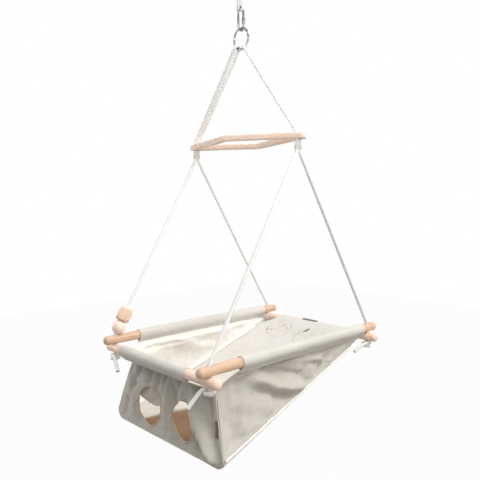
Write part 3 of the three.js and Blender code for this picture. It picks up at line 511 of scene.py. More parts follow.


# %% [markdown]
# The canvas is unbleached cotton in plain weave. It has thick slubs, dark seed flecks and the creases that
# washing leaves. The weave, slubs and flecks follow the UV map, so they turn with the threads; the creases
# and the slow change of tone are noise in space. The same function makes each of the bag's five tones,
# which are lit and shaded copies of one canvas: painted shade outside, painted light inside and on the
# sleeves, a painted highlight on the rims and painted brown shade at the floor's foot corner.

# %% Cotton canvas
def cotton_canvas(name, tone, shade, creases=0.5, foot_corner_shade=None):
    """Washed natural canvas with a soft, matt bloom; foot_corner_shade is painted shade at the floor's foot
    corner.
    """
    material, tree, shader, where = new_finish(name, 0.92, Sheen_Weight=0.12, Sheen_Roughness=0.6)
    # Threads 0.7 mm apart, drawn at 1.5 mm so that the weave shows
    threads = add_node(tree, "VectorMath",
                       {0: where["UV"], "Scale": 2 * math.pi / 0.0015}, operation="SCALE")
    parts = add_node(tree, "SeparateXYZ", {"Vector": threads.outputs["Vector"]})
    weave = maths(tree, "MULTIPLY", *(maths(tree, "SINE", parts.outputs[axis]) for axis in "XY"))
    # Slubs: thick places 1.5 mm wide and 30 mm long, one set along each thread direction
    slubs = []
    for scale in ((35, 700, 1), (700, 35, 1)):
        stretch = add_node(tree, "Mapping", {"Vector": where["UV"], "Scale": scale})
        slubs.append(add_node(tree, "TexNoise", {"Vector": stretch, "Scale": 1.0, "Detail": 2.0}))
    both = maths(tree, "ADD", *slubs)
    height = maths(tree, "MULTIPLY_ADD", both, 1.4, weave)
    relief = add_node(tree, "Bump", {"Height": height, "Strength": 0.35, "Distance": 0.0004})
    # Creases left from folding and washing: broad, soft waves about 40 mm across
    crumple = add_node(tree, "TexNoise",
                       {"Vector": where["Object"], "Scale": 24.0, "Detail": 4.0, "Roughness": 0.55,
                        "Distortion": 0.8})
    waves = add_node(tree, "Bump",
                     {"Height": crumple, "Strength": creases, "Distance": 0.006, "Normal": relief})
    cloud = add_node(tree, "TexNoise", {"Vector": where["Object"], "Scale": 9.0, "Detail": 3.0})
    ground = ramp(tree, cloud, [(0.3, shade), (0.7, tone)])
    # Seed flecks 0.6 mm across, one in about two square centimetres
    flecks = add_node(tree, "TexVoronoi", {"Vector": where["UV"], "Scale": 75.0})
    dots = ramp(tree, flecks, [(0.045, "#a99574"), (0.07, "#ffffff")])
    slubby = ramp(tree, both, [(0.75, "#f4f0e8"), (1.15, "#ffffff")])
    colour = ground
    for layer, amount in ((slubby, 0.8), (dots, 0.6)):
        blend = add_node(tree, "Mix",
                         {"Factor": amount, 6: colour, 7: layer}, data_type="RGBA", blend_type="MULTIPLY")
        colour = blend.outputs[2]
    if foot_corner_shade:
        # Painted shade: a diagonal edge, soft over 40 mm, between the plain floor and the brown at its near
        # foot corner
        spot = add_node(tree, "VectorMath", {0: where["Object"], 1: (1, 1, 0)},
                        operation="DOT_PRODUCT")
        share = add_node(tree, "MapRange",
                         {"Value": spot.outputs["Value"], "From Min": -0.14, "From Max": -0.1},
                         interpolation_type="SMOOTHSTEP")
        blend = add_node(tree, "Mix", {"Factor": share, 6: linear(foot_corner_shade), 7: colour}, data_type="RGBA")
        colour = blend.outputs[2]
    feed(tree, shader, {"Base Color": colour, "Normal": waves})
    return material


# Lit and shaded copies of one canvas: painted shade outside, painted light on the inner faces and the sleeves
canvas = cotton_canvas("washed cotton canvas", "#cdcac1", "#c3bfb5")
canvas_sleeve_light = cotton_canvas("cotton canvas, painted light on the sleeves", "#dcd9d3", "#d3d0c9")
# Painted highlight: the seam rolls and the rim's outer faces are near white, as if catching light from above
canvas_hem = cotton_canvas("cotton canvas, painted highlight at the seam rolls", "#fbf9f4", "#f4f1eb")
canvas_lining = cotton_canvas("inner face of the canvas, painted light", "#fffdf8", "#f9f6f0", 0.15)
# Painted shade: the floor's near foot corner is painted brown for the warm shade seen through the leg holes
canvas_floor = cotton_canvas("canvas floor with painted brown shade at its foot corner", "#e6e4df", "#dfdcd6", 0.3, "#8a6a4c")
print("five canvas finishes, each with about", len(canvas.node_tree.nodes), "nodes")


# %% [markdown]
# ## The ropes
# Each long side hangs on one cotton rope. It starts as a tail under one corner, is knotted, climbs through
# both rods, slants up to the neck, goes through the spreader to the ring, turns round the ring's wire and
# comes back down the same way. A path through given points, swept with a round section, follows it in
# one piece. A low braid is pressed into the section, and the finish adds the finer yarns.

# %% Knot and tail
def knot_route(x, y, tail_degrees, turn, fall):
    """From the tail's tip, once round the strand under the rods, and up into its middle.

    The tail points to tail_degrees and falls by fall; turn is 1 or -1, the way the knot goes round.
    """
    tail_angle = math.radians(tail_degrees)
    top = SHORT_ROD_Z - ROD / 2 - SEAT
    lap = ROPE + SEAT
    high = top - ROPE / 2
    low = high - lap
    start_angle = tail_angle - turn * math.pi / 2

    def at(radius, angle, z):
        return (x + radius * math.cos(angle), y + radius * math.sin(angle), z)

    start = at(lap, start_angle, high)

    def on_tail(reach, drop):
        return (start[0] + reach * math.cos(tail_angle), start[1] + reach * math.sin(tail_angle), high - drop)

    tail = 36
    route = [on_tail(1.7 * ROPE + tail, fall), on_tail(1.7 * ROPE + tail / 2, fall / 2),
             on_tail(1.7 * ROPE, 0.35 * ROPE), on_tail(0.8 * ROPE, 0.04 * ROPE)]
    route += [at(lap, start_angle - turn * 2 * math.pi * k / 12, high - lap * k / 12) for k in range(13)]
    for k in range(1, 5):
        angle = start_angle - turn * (2 * math.pi + 0.2 * math.pi * k)
        route.append(at(lap * (1 - k / 4), angle, low - 0.2 * ROPE * math.sin(math.pi * k / 4)))
    return route + [(x, y, low + 0.6 * ROPE)]


print("one knot takes", len(knot_route(0, 0, 0, 1, 0)), "points")


# %% Legs of a rope
def rope_lead(end, side):
    """The straight leg of a rope: where it leaves the long rod, its way up, and the neck."""
    foot = np.array([end * FRAME_LENGTH / 2, side * FRAME_WIDTH / 2, LONG_ROD_Z + ROD / 2 + 0.1 * ROPE])
    neck = np.array([end * STRAND, side * BOARD_HOLES / 2, BOARD_Z - BOARD_THICKNESS / 2 - NECK])
    return foot, unit(neck - foot), neck


def climb_route(end, side):
    """Up through both rods, along the slant, and straight again at the neck."""
    foot, lead, neck = rope_lead(end, side)
    length = np.linalg.norm(neck - foot)
    route = [(foot[0], foot[1], SHORT_ROD_Z), foot - (0, 0, 0.5 * ROPE)]
    distances = [0.5 * ROPE, 1.5 * ROPE] + [length * k / 6 for k in range(1, 6)]
    distances += [length - 1.5 * ROPE, length - 0.5 * ROPE]
    route += [foot + lead * distance for distance in distances]
    return route + [neck + (0, 0, 0.6 * ROPE), neck + (0, 0, 1.6 * ROPE)]


foot, _, neck = rope_lead(FOOT, FAR)
print("a leg from rod to neck is", round(np.linalg.norm(neck - foot)), "mm")


# %% Over the ring
def hook_route(side):
    """From one slot of the spreader up to the ring, over its wire, and down to the other strand."""
    slot_y = side * BOARD_HOLES / 2
    lean = math.atan2(BOARD_HOLES / 2, RING_Z - BOARD_Z)
    outward = np.array([0, side * math.sin(lean), -math.cos(lean)])
    on_wire = np.array([0, 0, RING_Z]) + outward * RING_RADIUS
    bend = (RING_WIRE + ROPE) / 2 + SEAT
    halves = []
    for end in (FOOT, HEAD):
        slot_top = np.array([end * STRAND, slot_y, BOARD_Z + BOARD_THICKNESS / 2 + 0.4 * ROPE])
        contact = np.array([end * bend, on_wire[1], on_wire[2]])
        half = [(slot_top[0], slot_y, BOARD_Z), slot_top - (0, 0, 0.3 * ROPE)]
        half += [slot_top + (contact - slot_top) * share for share in (0.04, 0.3, 0.65, 0.94)]
        halves.append(half)
    turn = [on_wire - outward * bend * math.sin(a) - (bend * math.cos(a), 0, 0)
            for a in np.linspace(0, math.pi, 7)]
    return halves[0] + turn + halves[1][::-1]


def rope_route(side, foot_tail, head_tail):
    """A whole rope, from the foot corner's tail over the ring to the head corner's."""
    x = FRAME_LENGTH / 2
    y = side * FRAME_WIDTH / 2
    foot_half = knot_route(-x, y, *foot_tail) + climb_route(FOOT, side)
    head_half = knot_route(x, y, *head_tail) + climb_route(HEAD, side)
    return [tuple(point) for point in foot_half + hook_route(side) + head_half[::-1]]


print("over the ring:", len(hook_route(NEAR)), "points")


# %% Braid
def braided(path_length, flared_ends):
    """The radius of a braid: low strands, and a slight flare where the end was cut and fused."""
    def radius(along, angle):
        lane = 6 * angle / (2 * math.pi)
        climb = along * 6 / (3 * ROPE)
        first, second = lane + climb, lane - climb
        over = np.mod(np.floor(first) + np.floor(second), 2)
        crown = np.where(over > 0.5, np.sin(math.pi * np.mod(second, 1)), np.sin(math.pi * np.mod(first, 1)))
        size = ROPE / 2 - 0.06 + 0.06 * crown
        if flared_ends:
            tip = np.minimum(along, path_length - along)
            size = size + 0.5 * np.exp(-(tip / 5) ** 2)
        return size
    return radius


thickness = 2 * braided(100, False)(np.linspace(0, 50, 99), 1.0)
print("braid from", thickness.min().round(2), "to", thickness.max().round(2), "mm thick")


# %% Ropes
def stand_in(piece, node, body):
    """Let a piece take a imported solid's place and the body that carries it."""
    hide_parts(node)
    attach(piece, body)


def lay_rope(name, route):
    path, length = smooth_path(route, 1.9)
    rope = sweep(name + "_braid", path, braided(length, True), 24)
    rope.data.materials.append(cotton_rope)
    rope.data.materials.append(rope_end)
    for face in list(rope.data.polygons)[-2:]:
        face.material_index = 1
    stand_in(rope, name, "cradle")
    print(name, "length", round(length), "mm,", len(rope.data.polygons), "faces")


lay_rope("rope_far", rope_route(FAR, (256, 1, 38), (160, 1, 46)))
lay_rope("rope_near", rope_route(NEAR, (154, 1, 46), (160, -1, 24)))


# %% [markdown]
# ## Whippings
# Waxed thread, wound turn by turn, holds the two strands together below the spreader and covers the splice
# of the top loop. A helix around the outline of what it binds makes the winding; a single swept tube keeps
# it one piece of thread.

# %% Outline of a winding
def stadium_ring(half_gap, radius, share):
    """A point on the outline round two strands that lie side by side, for a share of a full turn."""
    straight = 2 * half_gap
    arc = math.pi * radius
    at = (share % 1.0) * (2 * straight + 2 * arc)
    for centre, start in ((half_gap, -math.pi / 2), (-half_gap, math.pi / 2)):
        if at < arc:
            angle = start + at / radius
            return centre + radius * math.cos(angle), radius * math.sin(angle)
        at -= arc
        if at < straight:
            side = 1 if centre > 0 else -1
            return side * (half_gap - at), side * radius
        at -= straight
    return half_gap, -radius


print("a quarter of the way round:", stadium_ring(5, 6, 0.25))


# %% Thread windings
THREAD = 1.2


def whip(name, centre, half_gap, radius, height, gauge, body):
    """Thread of the given gauge, wound upwards turn by turn."""
    turns = int(height / gauge)
    steps = turns * 40
    route = []
    for k in range(steps + 1):
        across, out = stadium_ring(half_gap, radius, k / 40)
        climb = gauge / 2 + (height - gauge) * k / steps
        route.append((centre[0] + across, centre[1] + out, centre[2] + climb))
    winding = sweep(name + "_thread", np.array(route), lambda along, angle: gauge / 2, 8)
    winding.data.materials.append(thread)
    stand_in(winding, name, body)
    print(name, turns, "turns")


neck_bottom = BOARD_Z - BOARD_THICKNESS / 2 - NECK + 0.7 * ROPE
for name, side in (("neck_band_near", NEAR), ("neck_band_far", FAR)):
    centre = (0, side * BOARD_HOLES / 2, neck_bottom)
    whip(name, centre, STRAND, ROPE / 2 + SEAT + THREAD / 2, 12, THREAD, "cradle")
LOOP_BEND, LOOP_TOP, LOOP_BOTTOM = 9.3, -3.8, -41.2
splice = (0, LOOP_BEND, LOOP_TOP - LOOP_BEND)
whip("loop_whipping", splice, 0, ROPE / 2 + SEAT + THREAD / 2, 9, THREAD, "hanger")


# %% [markdown]
# The loop above the carabiner is the same rope with its ends spliced, so its path is closed and has no caps.

# %% Hanging loop
def loop_arc(height, start):
    """Half a circle of the loop, from a start angle."""
    return [(0, LOOP_BEND * math.cos(a), height + LOOP_BEND * math.sin(a))
            for a in np.linspace(start, start + math.pi, 7)]


def loop_route():
    middle = (LOOP_TOP + LOOP_BOTTOM) / 2
    return (loop_arc(LOOP_TOP, 0) + [(0, -LOOP_BEND, middle)]
            + loop_arc(LOOP_BOTTOM, math.pi) + [(0, LOOP_BEND, middle)])


path, length = smooth_path(loop_route(), 1.6, closed=True)
loop = sweep("hanging_rope_loop", path, braided(length, False), 24, closed=True)
loop.data.materials.append(cotton_rope)
stand_in(loop, "hanging_loop", "hanger")
print("hanging loop", round(length), "mm round")


# %% [markdown]
# ## Beech rods
# The rods are turned dowels with domed ends and one drilled hole at each corner, so a profile spun about the
# rod's axis, drilled with a boolean, is the way a lathe and a drill make them.

# %% Turning
def spin_profile(name, profile, sides):
    """A closed solid of revolution about X from (place along the axis, radius) points, tip to tip."""
    angles = np.linspace(0, 2 * math.pi, sides, endpoint=False)
    inner = profile[1:-1]
    points = [(profile[0][0], 0, 0), (profile[-1][0], 0, 0)]
    points += [(x, r * math.cos(a), r * math.sin(a)) for x, r in inner for a in angles]
    faces = []
    for k in range(sides):
        turn = (k + 1) % sides
        faces.append((0, 2 + turn, 2 + k))
        for row in range(len(inner) - 1):
            low, high = 2 + row * sides, 2 + (row + 1) * sides
            faces.append((low + k, low + turn, high + turn, high + k))
        last = 2 + (len(inner) - 1) * sides
        faces.append((1, last + k, last + turn))
    return add_mesh(name, points, faces)


def outward(mesh):
    """Merge doubles and turn every face outwards."""
    shape = bmesh.new()
    shape.from_mesh(mesh)
    bmesh.ops.remove_doubles(shape, verts=shape.verts, dist=1e-6)
    bmesh.ops.recalc_face_normals(shape, faces=shape.faces)
    shape.to_mesh(mesh)
    shape.free()
    mesh.update()


def turned_solid(name, profile, sides):
    turned = spin_profile(name, profile, sides)
    outward(turned.data)
    return turned


print("turning helpers ready")


# %% Cutting, joining and placing
def settle(piece):
    """Keep what a piece's modifiers make as its plain mesh, and remove the modifiers."""
    bpy.context.view_layer.update()
    piece.data = bpy.data.meshes.new_from_object(piece.evaluated_get(bpy.context.evaluated_depsgraph_get()))
    piece.modifiers.clear()


def combine(piece, tools, operation):
    """Cut tools out of a piece or join them to it, then remove the tools."""
    for tool in tools:
        modifier = piece.modifiers.new("tool", "BOOLEAN")
        modifier.operation = operation
        modifier.solver = "EXACT"
        modifier.object = tool
    settle(piece)
    for tool in tools:
        bpy.data.objects.remove(tool)


def carve(piece, tools, sharp=35):
    """Cut tools out of a piece and shade it smooth between its sharp edges."""
    combine(piece, tools, "DIFFERENCE")
    outward(piece.data)
    piece.data.polygons.foreach_set("use_smooth", [True] * len(piece.data.polygons))
    piece.data.set_sharp_from_angle(angle=math.radians(sharp))


def shift(piece, matrix):
    """Move the mesh itself, so that the object stays at the origin."""
    piece.data.transform(matrix)
    piece.data.update()
    return piece


print("cutting helpers ready")


# %% Rods
HOLE = 7.25                 # radius of every rope hole


def drill_bit(radius, reach, flare):
    """A drill with a countersink at both ends, about X."""
    half = ROD / 2
    profile = [(-reach, 0), (-reach, radius + flare), (-half + 0.2, radius + flare), (-half + 1.6, radius),
               (half - 1.6, radius), (half - 0.2, radius + flare), (reach, radius + flare), (reach, 0)]
    return turned_solid("drill", profile, 40)


def turned_rod(name, hole_spacing, place, quarter_turn, finish):
    """A rod turned and drilled along X, then laid in its place, a quarter turn round if it is a short one."""
    half = hole_spacing / 2 + ROD_OVERHANG
    angles = np.linspace(0, math.pi / 2, 11)
    dome = [(-half + 10 * (1 - math.cos(a)), ROD / 2 * math.sin(a)) for a in angles]
    body = turned_solid(name + "_turned", dome + [(-x, r) for x, r in reversed(dome)], 64)
    bits = [shift(drill_bit(HOLE, ROD, 1.0), Matrix.Translation((end * hole_spacing / 2 * MM, 0, 0))
                  @ Matrix.Rotation(RIGHT_ANGLE, 4, "Y")) for end in (-1, 1)]
    carve(body, bits)
    turn = Matrix.Rotation(RIGHT_ANGLE, 4, "Z") if quarter_turn else Matrix.Identity(4)
    shift(body, Matrix.Translation(Vector(place) * MM) @ turn)
    body.data.materials.append(finish)
    stand_in(body, name, "cradle")
    print(name, "rod", round(2 * half), "mm,", len(body.data.polygons), "faces")


turned_rod("long_rod_near", FRAME_LENGTH, (0, -FRAME_WIDTH / 2, LONG_ROD_Z), False, beech_along_x)
turned_rod("long_rod_far", FRAME_LENGTH, (0, FRAME_WIDTH / 2, LONG_ROD_Z), False, beech_along_x)
turned_rod("foot_rod", FRAME_WIDTH, (-FRAME_LENGTH / 2, 0, SHORT_ROD_Z), True, beech_along_y)
turned_rod("head_rod", FRAME_WIDTH, (FRAME_LENGTH / 2, 0, SHORT_ROD_Z), True, beech_along_y)


# %% [markdown]
# ## Beads
# A ball and a cut block are threaded on the far foot rope. The ball is turned; the block is a cube with its
# edges and corners cut flat. Both are bored upright, then turned to the rope's slant, the ball resting on
# the rod and the block on the ball.

# %% Places of the beads
BALL_RADIUS, BLOCK = 21.5, 42
BEAD_GAP = 0.4


def bead_places():
    """The middles of ball and block on the slanting rope, and the turn that threads them on it."""
    foot, lead, _ = rope_lead(FOOT, FAR)
    ball_at = (BALL_RADIUS + BEAD_GAP - (foot[2] - LONG_ROD_Z - ROD / 2)) / lead[2]
    cut_at = ball_at + math.sqrt(BALL_RADIUS ** 2 - HOLE ** 2) + BEAD_GAP + BLOCK / 2
    turn = Vector((0, 1, 0)).rotation_difference(Vector(lead)).to_matrix().to_4x4()
    return foot + lead * ball_at, foot + lead * cut_at, turn @ Matrix.Rotation(RIGHT_ANGLE, 4, "Z")


ball_place, block_place, bead_turn = bead_places()
print("the beads' middles are", round(np.linalg.norm(block_place - ball_place), 1), "mm apart")


# %% Ball
def threaded_bead(name, bead, place, finish, body):
    """Bore a bead along X, put it on the rope and hand it over."""
    carve(bead, [turned_solid("drill", [(-30, 0), (-30, HOLE), (30, HOLE), (30, 0)], 40)], 28)
    shift(bead, Matrix.Translation(Vector(place) * MM) @ bead_turn)
    bead.data.materials.append(finish)
    stand_in(bead, name, body)
    print(name, len(bead.data.polygons), "faces")


half_circle = [(-BALL_RADIUS * math.cos(a), BALL_RADIUS * math.sin(a)) for a in np.linspace(0, math.pi, 37)]
threaded_bead("sphere_bead", turned_solid("beech_ball", half_circle, 64), ball_place, beech_pale, "sphere")


# %% Cut block
def faceted_block(width, edge_share, corner_share):
    """A cube cut flat along its twelve edges and at its eight corners, then eased by sanding."""
    shape = bmesh.new()
    bmesh.ops.create_cube(shape, size=width)
    steps = [(x, y, z) for x in (-1, 0, 1) for y in (-1, 0, 1) for z in (-1, 0, 1)]
    for direction in steps:
        spread = sum(abs(step) for step in direction)
        if spread < 2:
            continue
        reach = width * edge_share / math.sqrt(2) if spread == 2 else width * corner_share * math.sqrt(3) / 2
        normal = Vector(direction).normalized()
        cut = bmesh.ops.bisect_plane(shape, geom=shape.verts[:] + shape.edges[:] + shape.faces[:],
                                     plane_co=normal * reach, plane_no=normal, clear_outer=True)
        rim = [edge for edge in cut["geom_cut"] if isinstance(edge, bmesh.types.BMEdge)]
        bmesh.ops.contextual_create(shape, geom=rim)
    bmesh.ops.recalc_face_normals(shape, faces=shape.faces)
    bmesh.ops.bevel(shape, geom=shape.edges[:], offset=0.9, segments=3, profile=0.6, affect="EDGES")
    mesh = bpy.data.meshes.new("cut_bead")
    shape.to_mesh(mesh)
    shape.free()
    mesh.transform(Matrix.Scale(MM, 4))
    block = bpy.data.objects.new("beech_cut_bead", mesh)
    scene.collection.objects.link(block)
    return block


threaded_bead("faceted_bead", faceted_block(BLOCK, 0.91, 0.8), block_place, beech_bead, "faceted")


# %% [markdown]
# ## Spreader
# The spreader is sawn from beech board: a long rhombus with a rhombus cut out of it and a slot for the ropes
# at each tip. An outline with a rounded edge makes each wall, and a triangulation that keeps the outlines as
# fixed edges closes the two flat faces. It hangs tilted, its head corner a little lower.

# %% Outlines on a board
def rhombus(tip, tip_radius, side, side_radius, steps):
    """The outline of a long rhombus with rounded corners, tips along Y, run anticlockwise."""
    lean = math.atan2(side, tip) - math.asin((side_radius - tip_radius) / math.hypot(tip, side))
    corners = [((side, 0), side_radius, -lean, lean), ((0, tip), tip_radius, lean, math.pi - lean),
               ((-side, 0), side_radius, math.pi - lean, math.pi + lean),
               ((0, -tip), tip_radius, math.pi + lean, 2 * math.pi - lean)]
    return [(cx + radius * math.cos(a), cy + radius * math.sin(a))
            for (cx, cy), radius, start, stop in corners for a in np.linspace(start, stop, steps)]


def slot_outline(y, half_gap, radius, steps):
    return [(side * (half_gap + radius * math.cos(a)), y + side * radius * math.sin(a))
            for side in (1, -1) for a in np.linspace(-math.pi / 2, math.pi / 2, steps)]


print("a slot's outline has", len(slot_outline(0, 5, 6, 12)), "points")


# %% Filling a face that has holes
def inside(point, outline):
    """Whether a flat point lies in an outline, by counting the edges to its right."""
    crossings = 0
    for a, b in zip(outline, outline[1:] + outline[:1]):
        if (a.y > point.y) != (b.y > point.y):
            crossings += point.x < a.x + (point.y - a.y) * (b.x - a.x) / (b.y - a.y)
    return crossings % 2 == 1


def fill_with_holes(flat, rings):
    """Triangles between an outer ring and the rings inside it."""
    edges = [(ring[k], ring[(k + 1) % len(ring)]) for ring in rings for k in range(len(ring))]
    corners, _, triangles, sources, _, _ = delaunay_2d_cdt(flat, edges, [], 0, 1e-6)
    shapes = [[flat[k] for k in ring] for ring in rings]
    kept = []
    for triangle in triangles:
        middle = sum((corners[k] for k in triangle), Vector((0, 0))) / 3
        if inside(middle, shapes[0]) and not any(inside(middle, hole) for hole in shapes[1:]):
            kept.append(tuple(sources[k][0] for k in triangle))
    return kept


square = [Vector(corner) for corner in ((0, 0), (9, 0), (9, 9), (0, 9))]
print("a square fills with", len(fill_with_holes(square, [[0, 1, 2, 3]])), "triangles")


# %% Sawing the spreader
def sawn_board(name, loops, insets, height, slope, thickness, rounding):
    """A board with holes: each loop gets a wall with rounded-over edges, and two flat faces close it.

    The slope is how much the board falls for each millimetre along X; its holes stay upright.
    """
    half = thickness / 2
    curve = [(rounding * (1 - math.sin(a)), half - rounding * (1 - math.cos(a)))
             for a in np.linspace(0, math.pi / 2, 5)]
    levels = curve + [(inset, -z) for inset, z in reversed(curve)]
    points, faces, rims = [], [], []
    for loop, side in zip(loops, insets):
        loop = np.array(loop)
        along = unit(np.roll(loop, -1, axis=0) - np.roll(loop, 1, axis=0))
        inward = np.stack([-along[:, 1], along[:, 0]], axis=1) * side
        start, count = len(points), len(loop)
        for inset, z in levels:
            points += [(*p, height + z - slope * p[0]) for p in loop + inward * inset]
        for row in range(len(levels) - 1):
            for k in range(count):
                a, b = start + row * count + k, start + row * count + (k + 1) % count
                faces.append((a, b, b + count, a + count))
        rims.append((start, count))
    for level in (0, len(levels) - 1):
        flat = [Vector(points[start + level * count + k][:2]) for start, count in rims for k in range(count)]
        numbers = [start + level * count + k for start, count in rims for k in range(count)]
        rings, at = [], 0
        for _, count in rims:
            rings.append([at + k for k in range(count)])
            at += count
        faces += [tuple(numbers[k] for k in face) for face in fill_with_holes(flat, rings)]
    board = add_mesh(name, points, faces)
    outward(board.data)
    board.data.set_sharp_from_angle(angle=math.radians(40))
    return board


half_span = BOARD_HOLES / 2
loops = [rhombus(half_span + 14, 13, 62, 16, 12), rhombus(half_span - 36, 6, 55, 6, 8)[::-1]]
loops += [slot_outline(y, STRAND, ROPE / 2 + 0.5, 12)[::-1] for y in (-half_span, half_span)]
slope = math.tan(math.radians(6.5))
board = sawn_board("spreader_board", loops, (1, 1, 0.35, 0.35), BOARD_Z, slope, BOARD_THICKNESS, 2.5)
board.data.materials.append(beech_board)
stand_in(board, "spreader", "cradle")
print("spreader", len(board.data.polygons), "faces")


# %% [markdown]
# ## Ring, carabiner and gate
# The ring is bent wire, and so is the carabiner: both are round sections swept along a path. The carabiner
# is slotted at the foot of its open side for the gate's tongue, and a ribbed barrel slides on the gate.

# %% Steel ring
def finish_steel(piece, node, body):
    piece.data.materials.append(steel)
    stand_in(piece, node, body)
    print(node, len(piece.data.polygons), "faces")


angles = np.linspace(0, 2 * math.pi, 97)[:-1]
path = np.array([(0, RING_RADIUS * math.cos(a), RING_Z + RING_RADIUS * math.sin(a)) for a in angles])
ring = sweep("welded_ring", path, lambda along, angle: RING_WIRE / 2, 28, closed=True)
finish_steel(ring, "hanging_ring", "cradle")


# %% Tools for the carabiner
WIRE = 7.0
BEND = 10.5
CARABINER_TOP, CARABINER_BOTTOM = -41.2, -111.2
PIN_Z = CARABINER_BOTTOM + BEND + 2


def box_tool(low, high):
    corners = [(x, y, z) for x in (low[0], high[0]) for y in (low[1], high[1]) for z in (low[2], high[2])]
    quads = [(0, 1, 3, 2), (4, 6, 7, 5), (0, 4, 5, 1), (2, 3, 7, 6), (0, 2, 6, 4), (1, 5, 7, 3)]
    tool = add_mesh("tool", corners, quads, smooth=False)
    outward(tool.data)
    return tool


def barrel(name, profile, place):
    """A turned part that stands upright on the carabiner's open side."""
    turned = turned_solid(name, profile, 48)
    return shift(turned, Matrix.Translation(Vector(place) * MM) @ Matrix.Rotation(-RIGHT_ANGLE, 4, "Y"))


def across_wire(name, profile):
    """A turned part that lies through the wire, where the gate turns."""
    place = Matrix.Translation((BEND * MM, 0, PIN_Z * MM))
    return shift(barrel(name, profile, (0, 0, 0)), place @ Matrix.Rotation(RIGHT_ANGLE, 4, "X"))


PIN_HOLE = [(-9, 0), (-9, 1.5), (9, 1.5), (9, 0)]
print("the gate's pin is", round(-PIN_Z, 1), "mm below the hanging point")


# %% Carabiner
def wire_arc(middle, start):
    return [(BEND * math.cos(a), 0, middle + BEND * math.sin(a))
            for a in np.linspace(start, start + math.pi, 13)]


nose = (BEND, 0, CARABINER_TOP - BEND - 6)
root = (BEND, 0, CARABINER_BOTTOM + BEND + 5)
bends = wire_arc(CARABINER_TOP - BEND, 0) + wire_arc(CARABINER_BOTTOM + BEND, math.pi)
path, _ = smooth_path([nose] + bends + [root], 1.5)
hook = sweep("carabiner_wire", path, lambda along, angle: WIRE / 2, 32)
outward(hook.data)
slot_tool = box_tool((BEND - 7, -1.9, PIN_Z - 3), (BEND + 7, 1.9, PIN_Z + 9))
carve(hook, [slot_tool, across_wire("drill", PIN_HOLE)], 40)
finish_steel(hook, "carabiner_body", "carabiner")


# %% Gate and pin
gate_bottom = PIN_Z + 3.9
gate_top = nose[2] - 0.9
reach = gate_top - gate_bottom
gate = barrel("gate_rod", [(0, 0), (0, 3.1), (0.4, 3.5), (reach - 0.4, 3.5), (reach, 3.1), (reach, 0)],
              (BEND, 0, gate_bottom))
tongue = box_tool((BEND - 2.7, -1.5, PIN_Z - 2.1), (BEND + 2.7, 1.5, gate_bottom + 1.5))
combine(gate, [tongue], "UNION")
carve(gate, [across_wire("drill", PIN_HOLE)], 40)
finish_steel(gate, "carabiner_gate", "gate")

pin = across_wire("gate_rivet", [(-3.35, 0), (-3.35, 0.9), (-3.0, 1.2), (3.0, 1.2), (3.35, 0.9), (3.35, 0)])
finish_steel(pin, "gate_pin", "carabiner")


# %% [markdown]
# The ribs on the lock barrel are one small block repeated all round, which suits Geometry Nodes: a circle
# gives the places, each place gets the same rib, and the result is made real and given its steel.

# %% Running a node tree
def new_node_tree(name, inputs):
    """An empty Geometry Nodes tree with named inputs; returns it, their identifiers and its input node."""
    tree = bpy.data.node_groups.new(name, "GeometryNodeTree")
    sockets = {}
    for label, kind, value in inputs:
        socket = tree.interface.new_socket(name=label, in_out="INPUT", socket_type="NodeSocket" + kind)
        if value is not None:
            socket.default_value = value
        sockets[label] = socket.identifier
    tree.interface.new_socket(name="Geometry", in_out="OUTPUT", socket_type="NodeSocketGeometry")
    return tree, sockets, add_node(tree, "NodeGroupInput").outputs


def grow(piece, tree, sockets, values):
    """Run a node tree on a piece with the given inputs and keep the result as its plain mesh."""
    modifier = piece.modifiers.new("nodes", "NODES")
    modifier.node_group = tree
    for label, value in values.items():
        modifier[sockets[label]] = value
    settle(piece)


print("node helpers ready")


# %% Ribs round a barrel
def rib_ring_nodes():
    """Ribs stood on a circle about Z, with their number, sizes and material as inputs."""
    tree, sockets, given = new_node_tree("ribs round a barrel", (
        ("Barrel", "Geometry", None), ("Count", "Int", 30), ("Radius", "Float", 0.005),
        ("Rib length", "Float", 0.01), ("Rib width", "Float", 0.0006), ("Steel", "Material", None)))
    circle = add_node(tree, "GeometryNodeMeshCircle",
                      {"Vertices": given["Count"], "Radius": given["Radius"]})
    rib_size = add_node(tree, "CombineXYZ",
                        {"X": given["Rib width"], "Y": given["Rib width"],
                         "Z": given["Rib length"]})
    rib = add_node(tree, "GeometryNodeMeshCube", {"Size": rib_size})
    place = add_node(tree, "GeometryNodeInputPosition")
    facing = add_node(tree, "FunctionNodeAlignRotationToVector", {"Vector": place}, axis="X")
    ribs = add_node(tree, "GeometryNodeInstanceOnPoints",
                    {"Points": circle.outputs["Mesh"], "Instance": rib.outputs["Mesh"], "Rotation": facing})
    joined = add_node(tree, "GeometryNodeJoinGeometry", {"Geometry": given["Barrel"]})
    feed(tree, joined, {"Geometry": ribs})
    real = add_node(tree, "GeometryNodeRealizeInstances", {"Geometry": joined})
    clad = add_node(tree, "GeometryNodeSetMaterial", {"Geometry": real, "Material": given["Steel"]})
    add_node(tree, "NodeGroupOutput", {"Geometry": clad})
    return tree, sockets


rib_tree, rib_sockets = rib_ring_nodes()
print("rib tree:", ", ".join(rib_sockets))


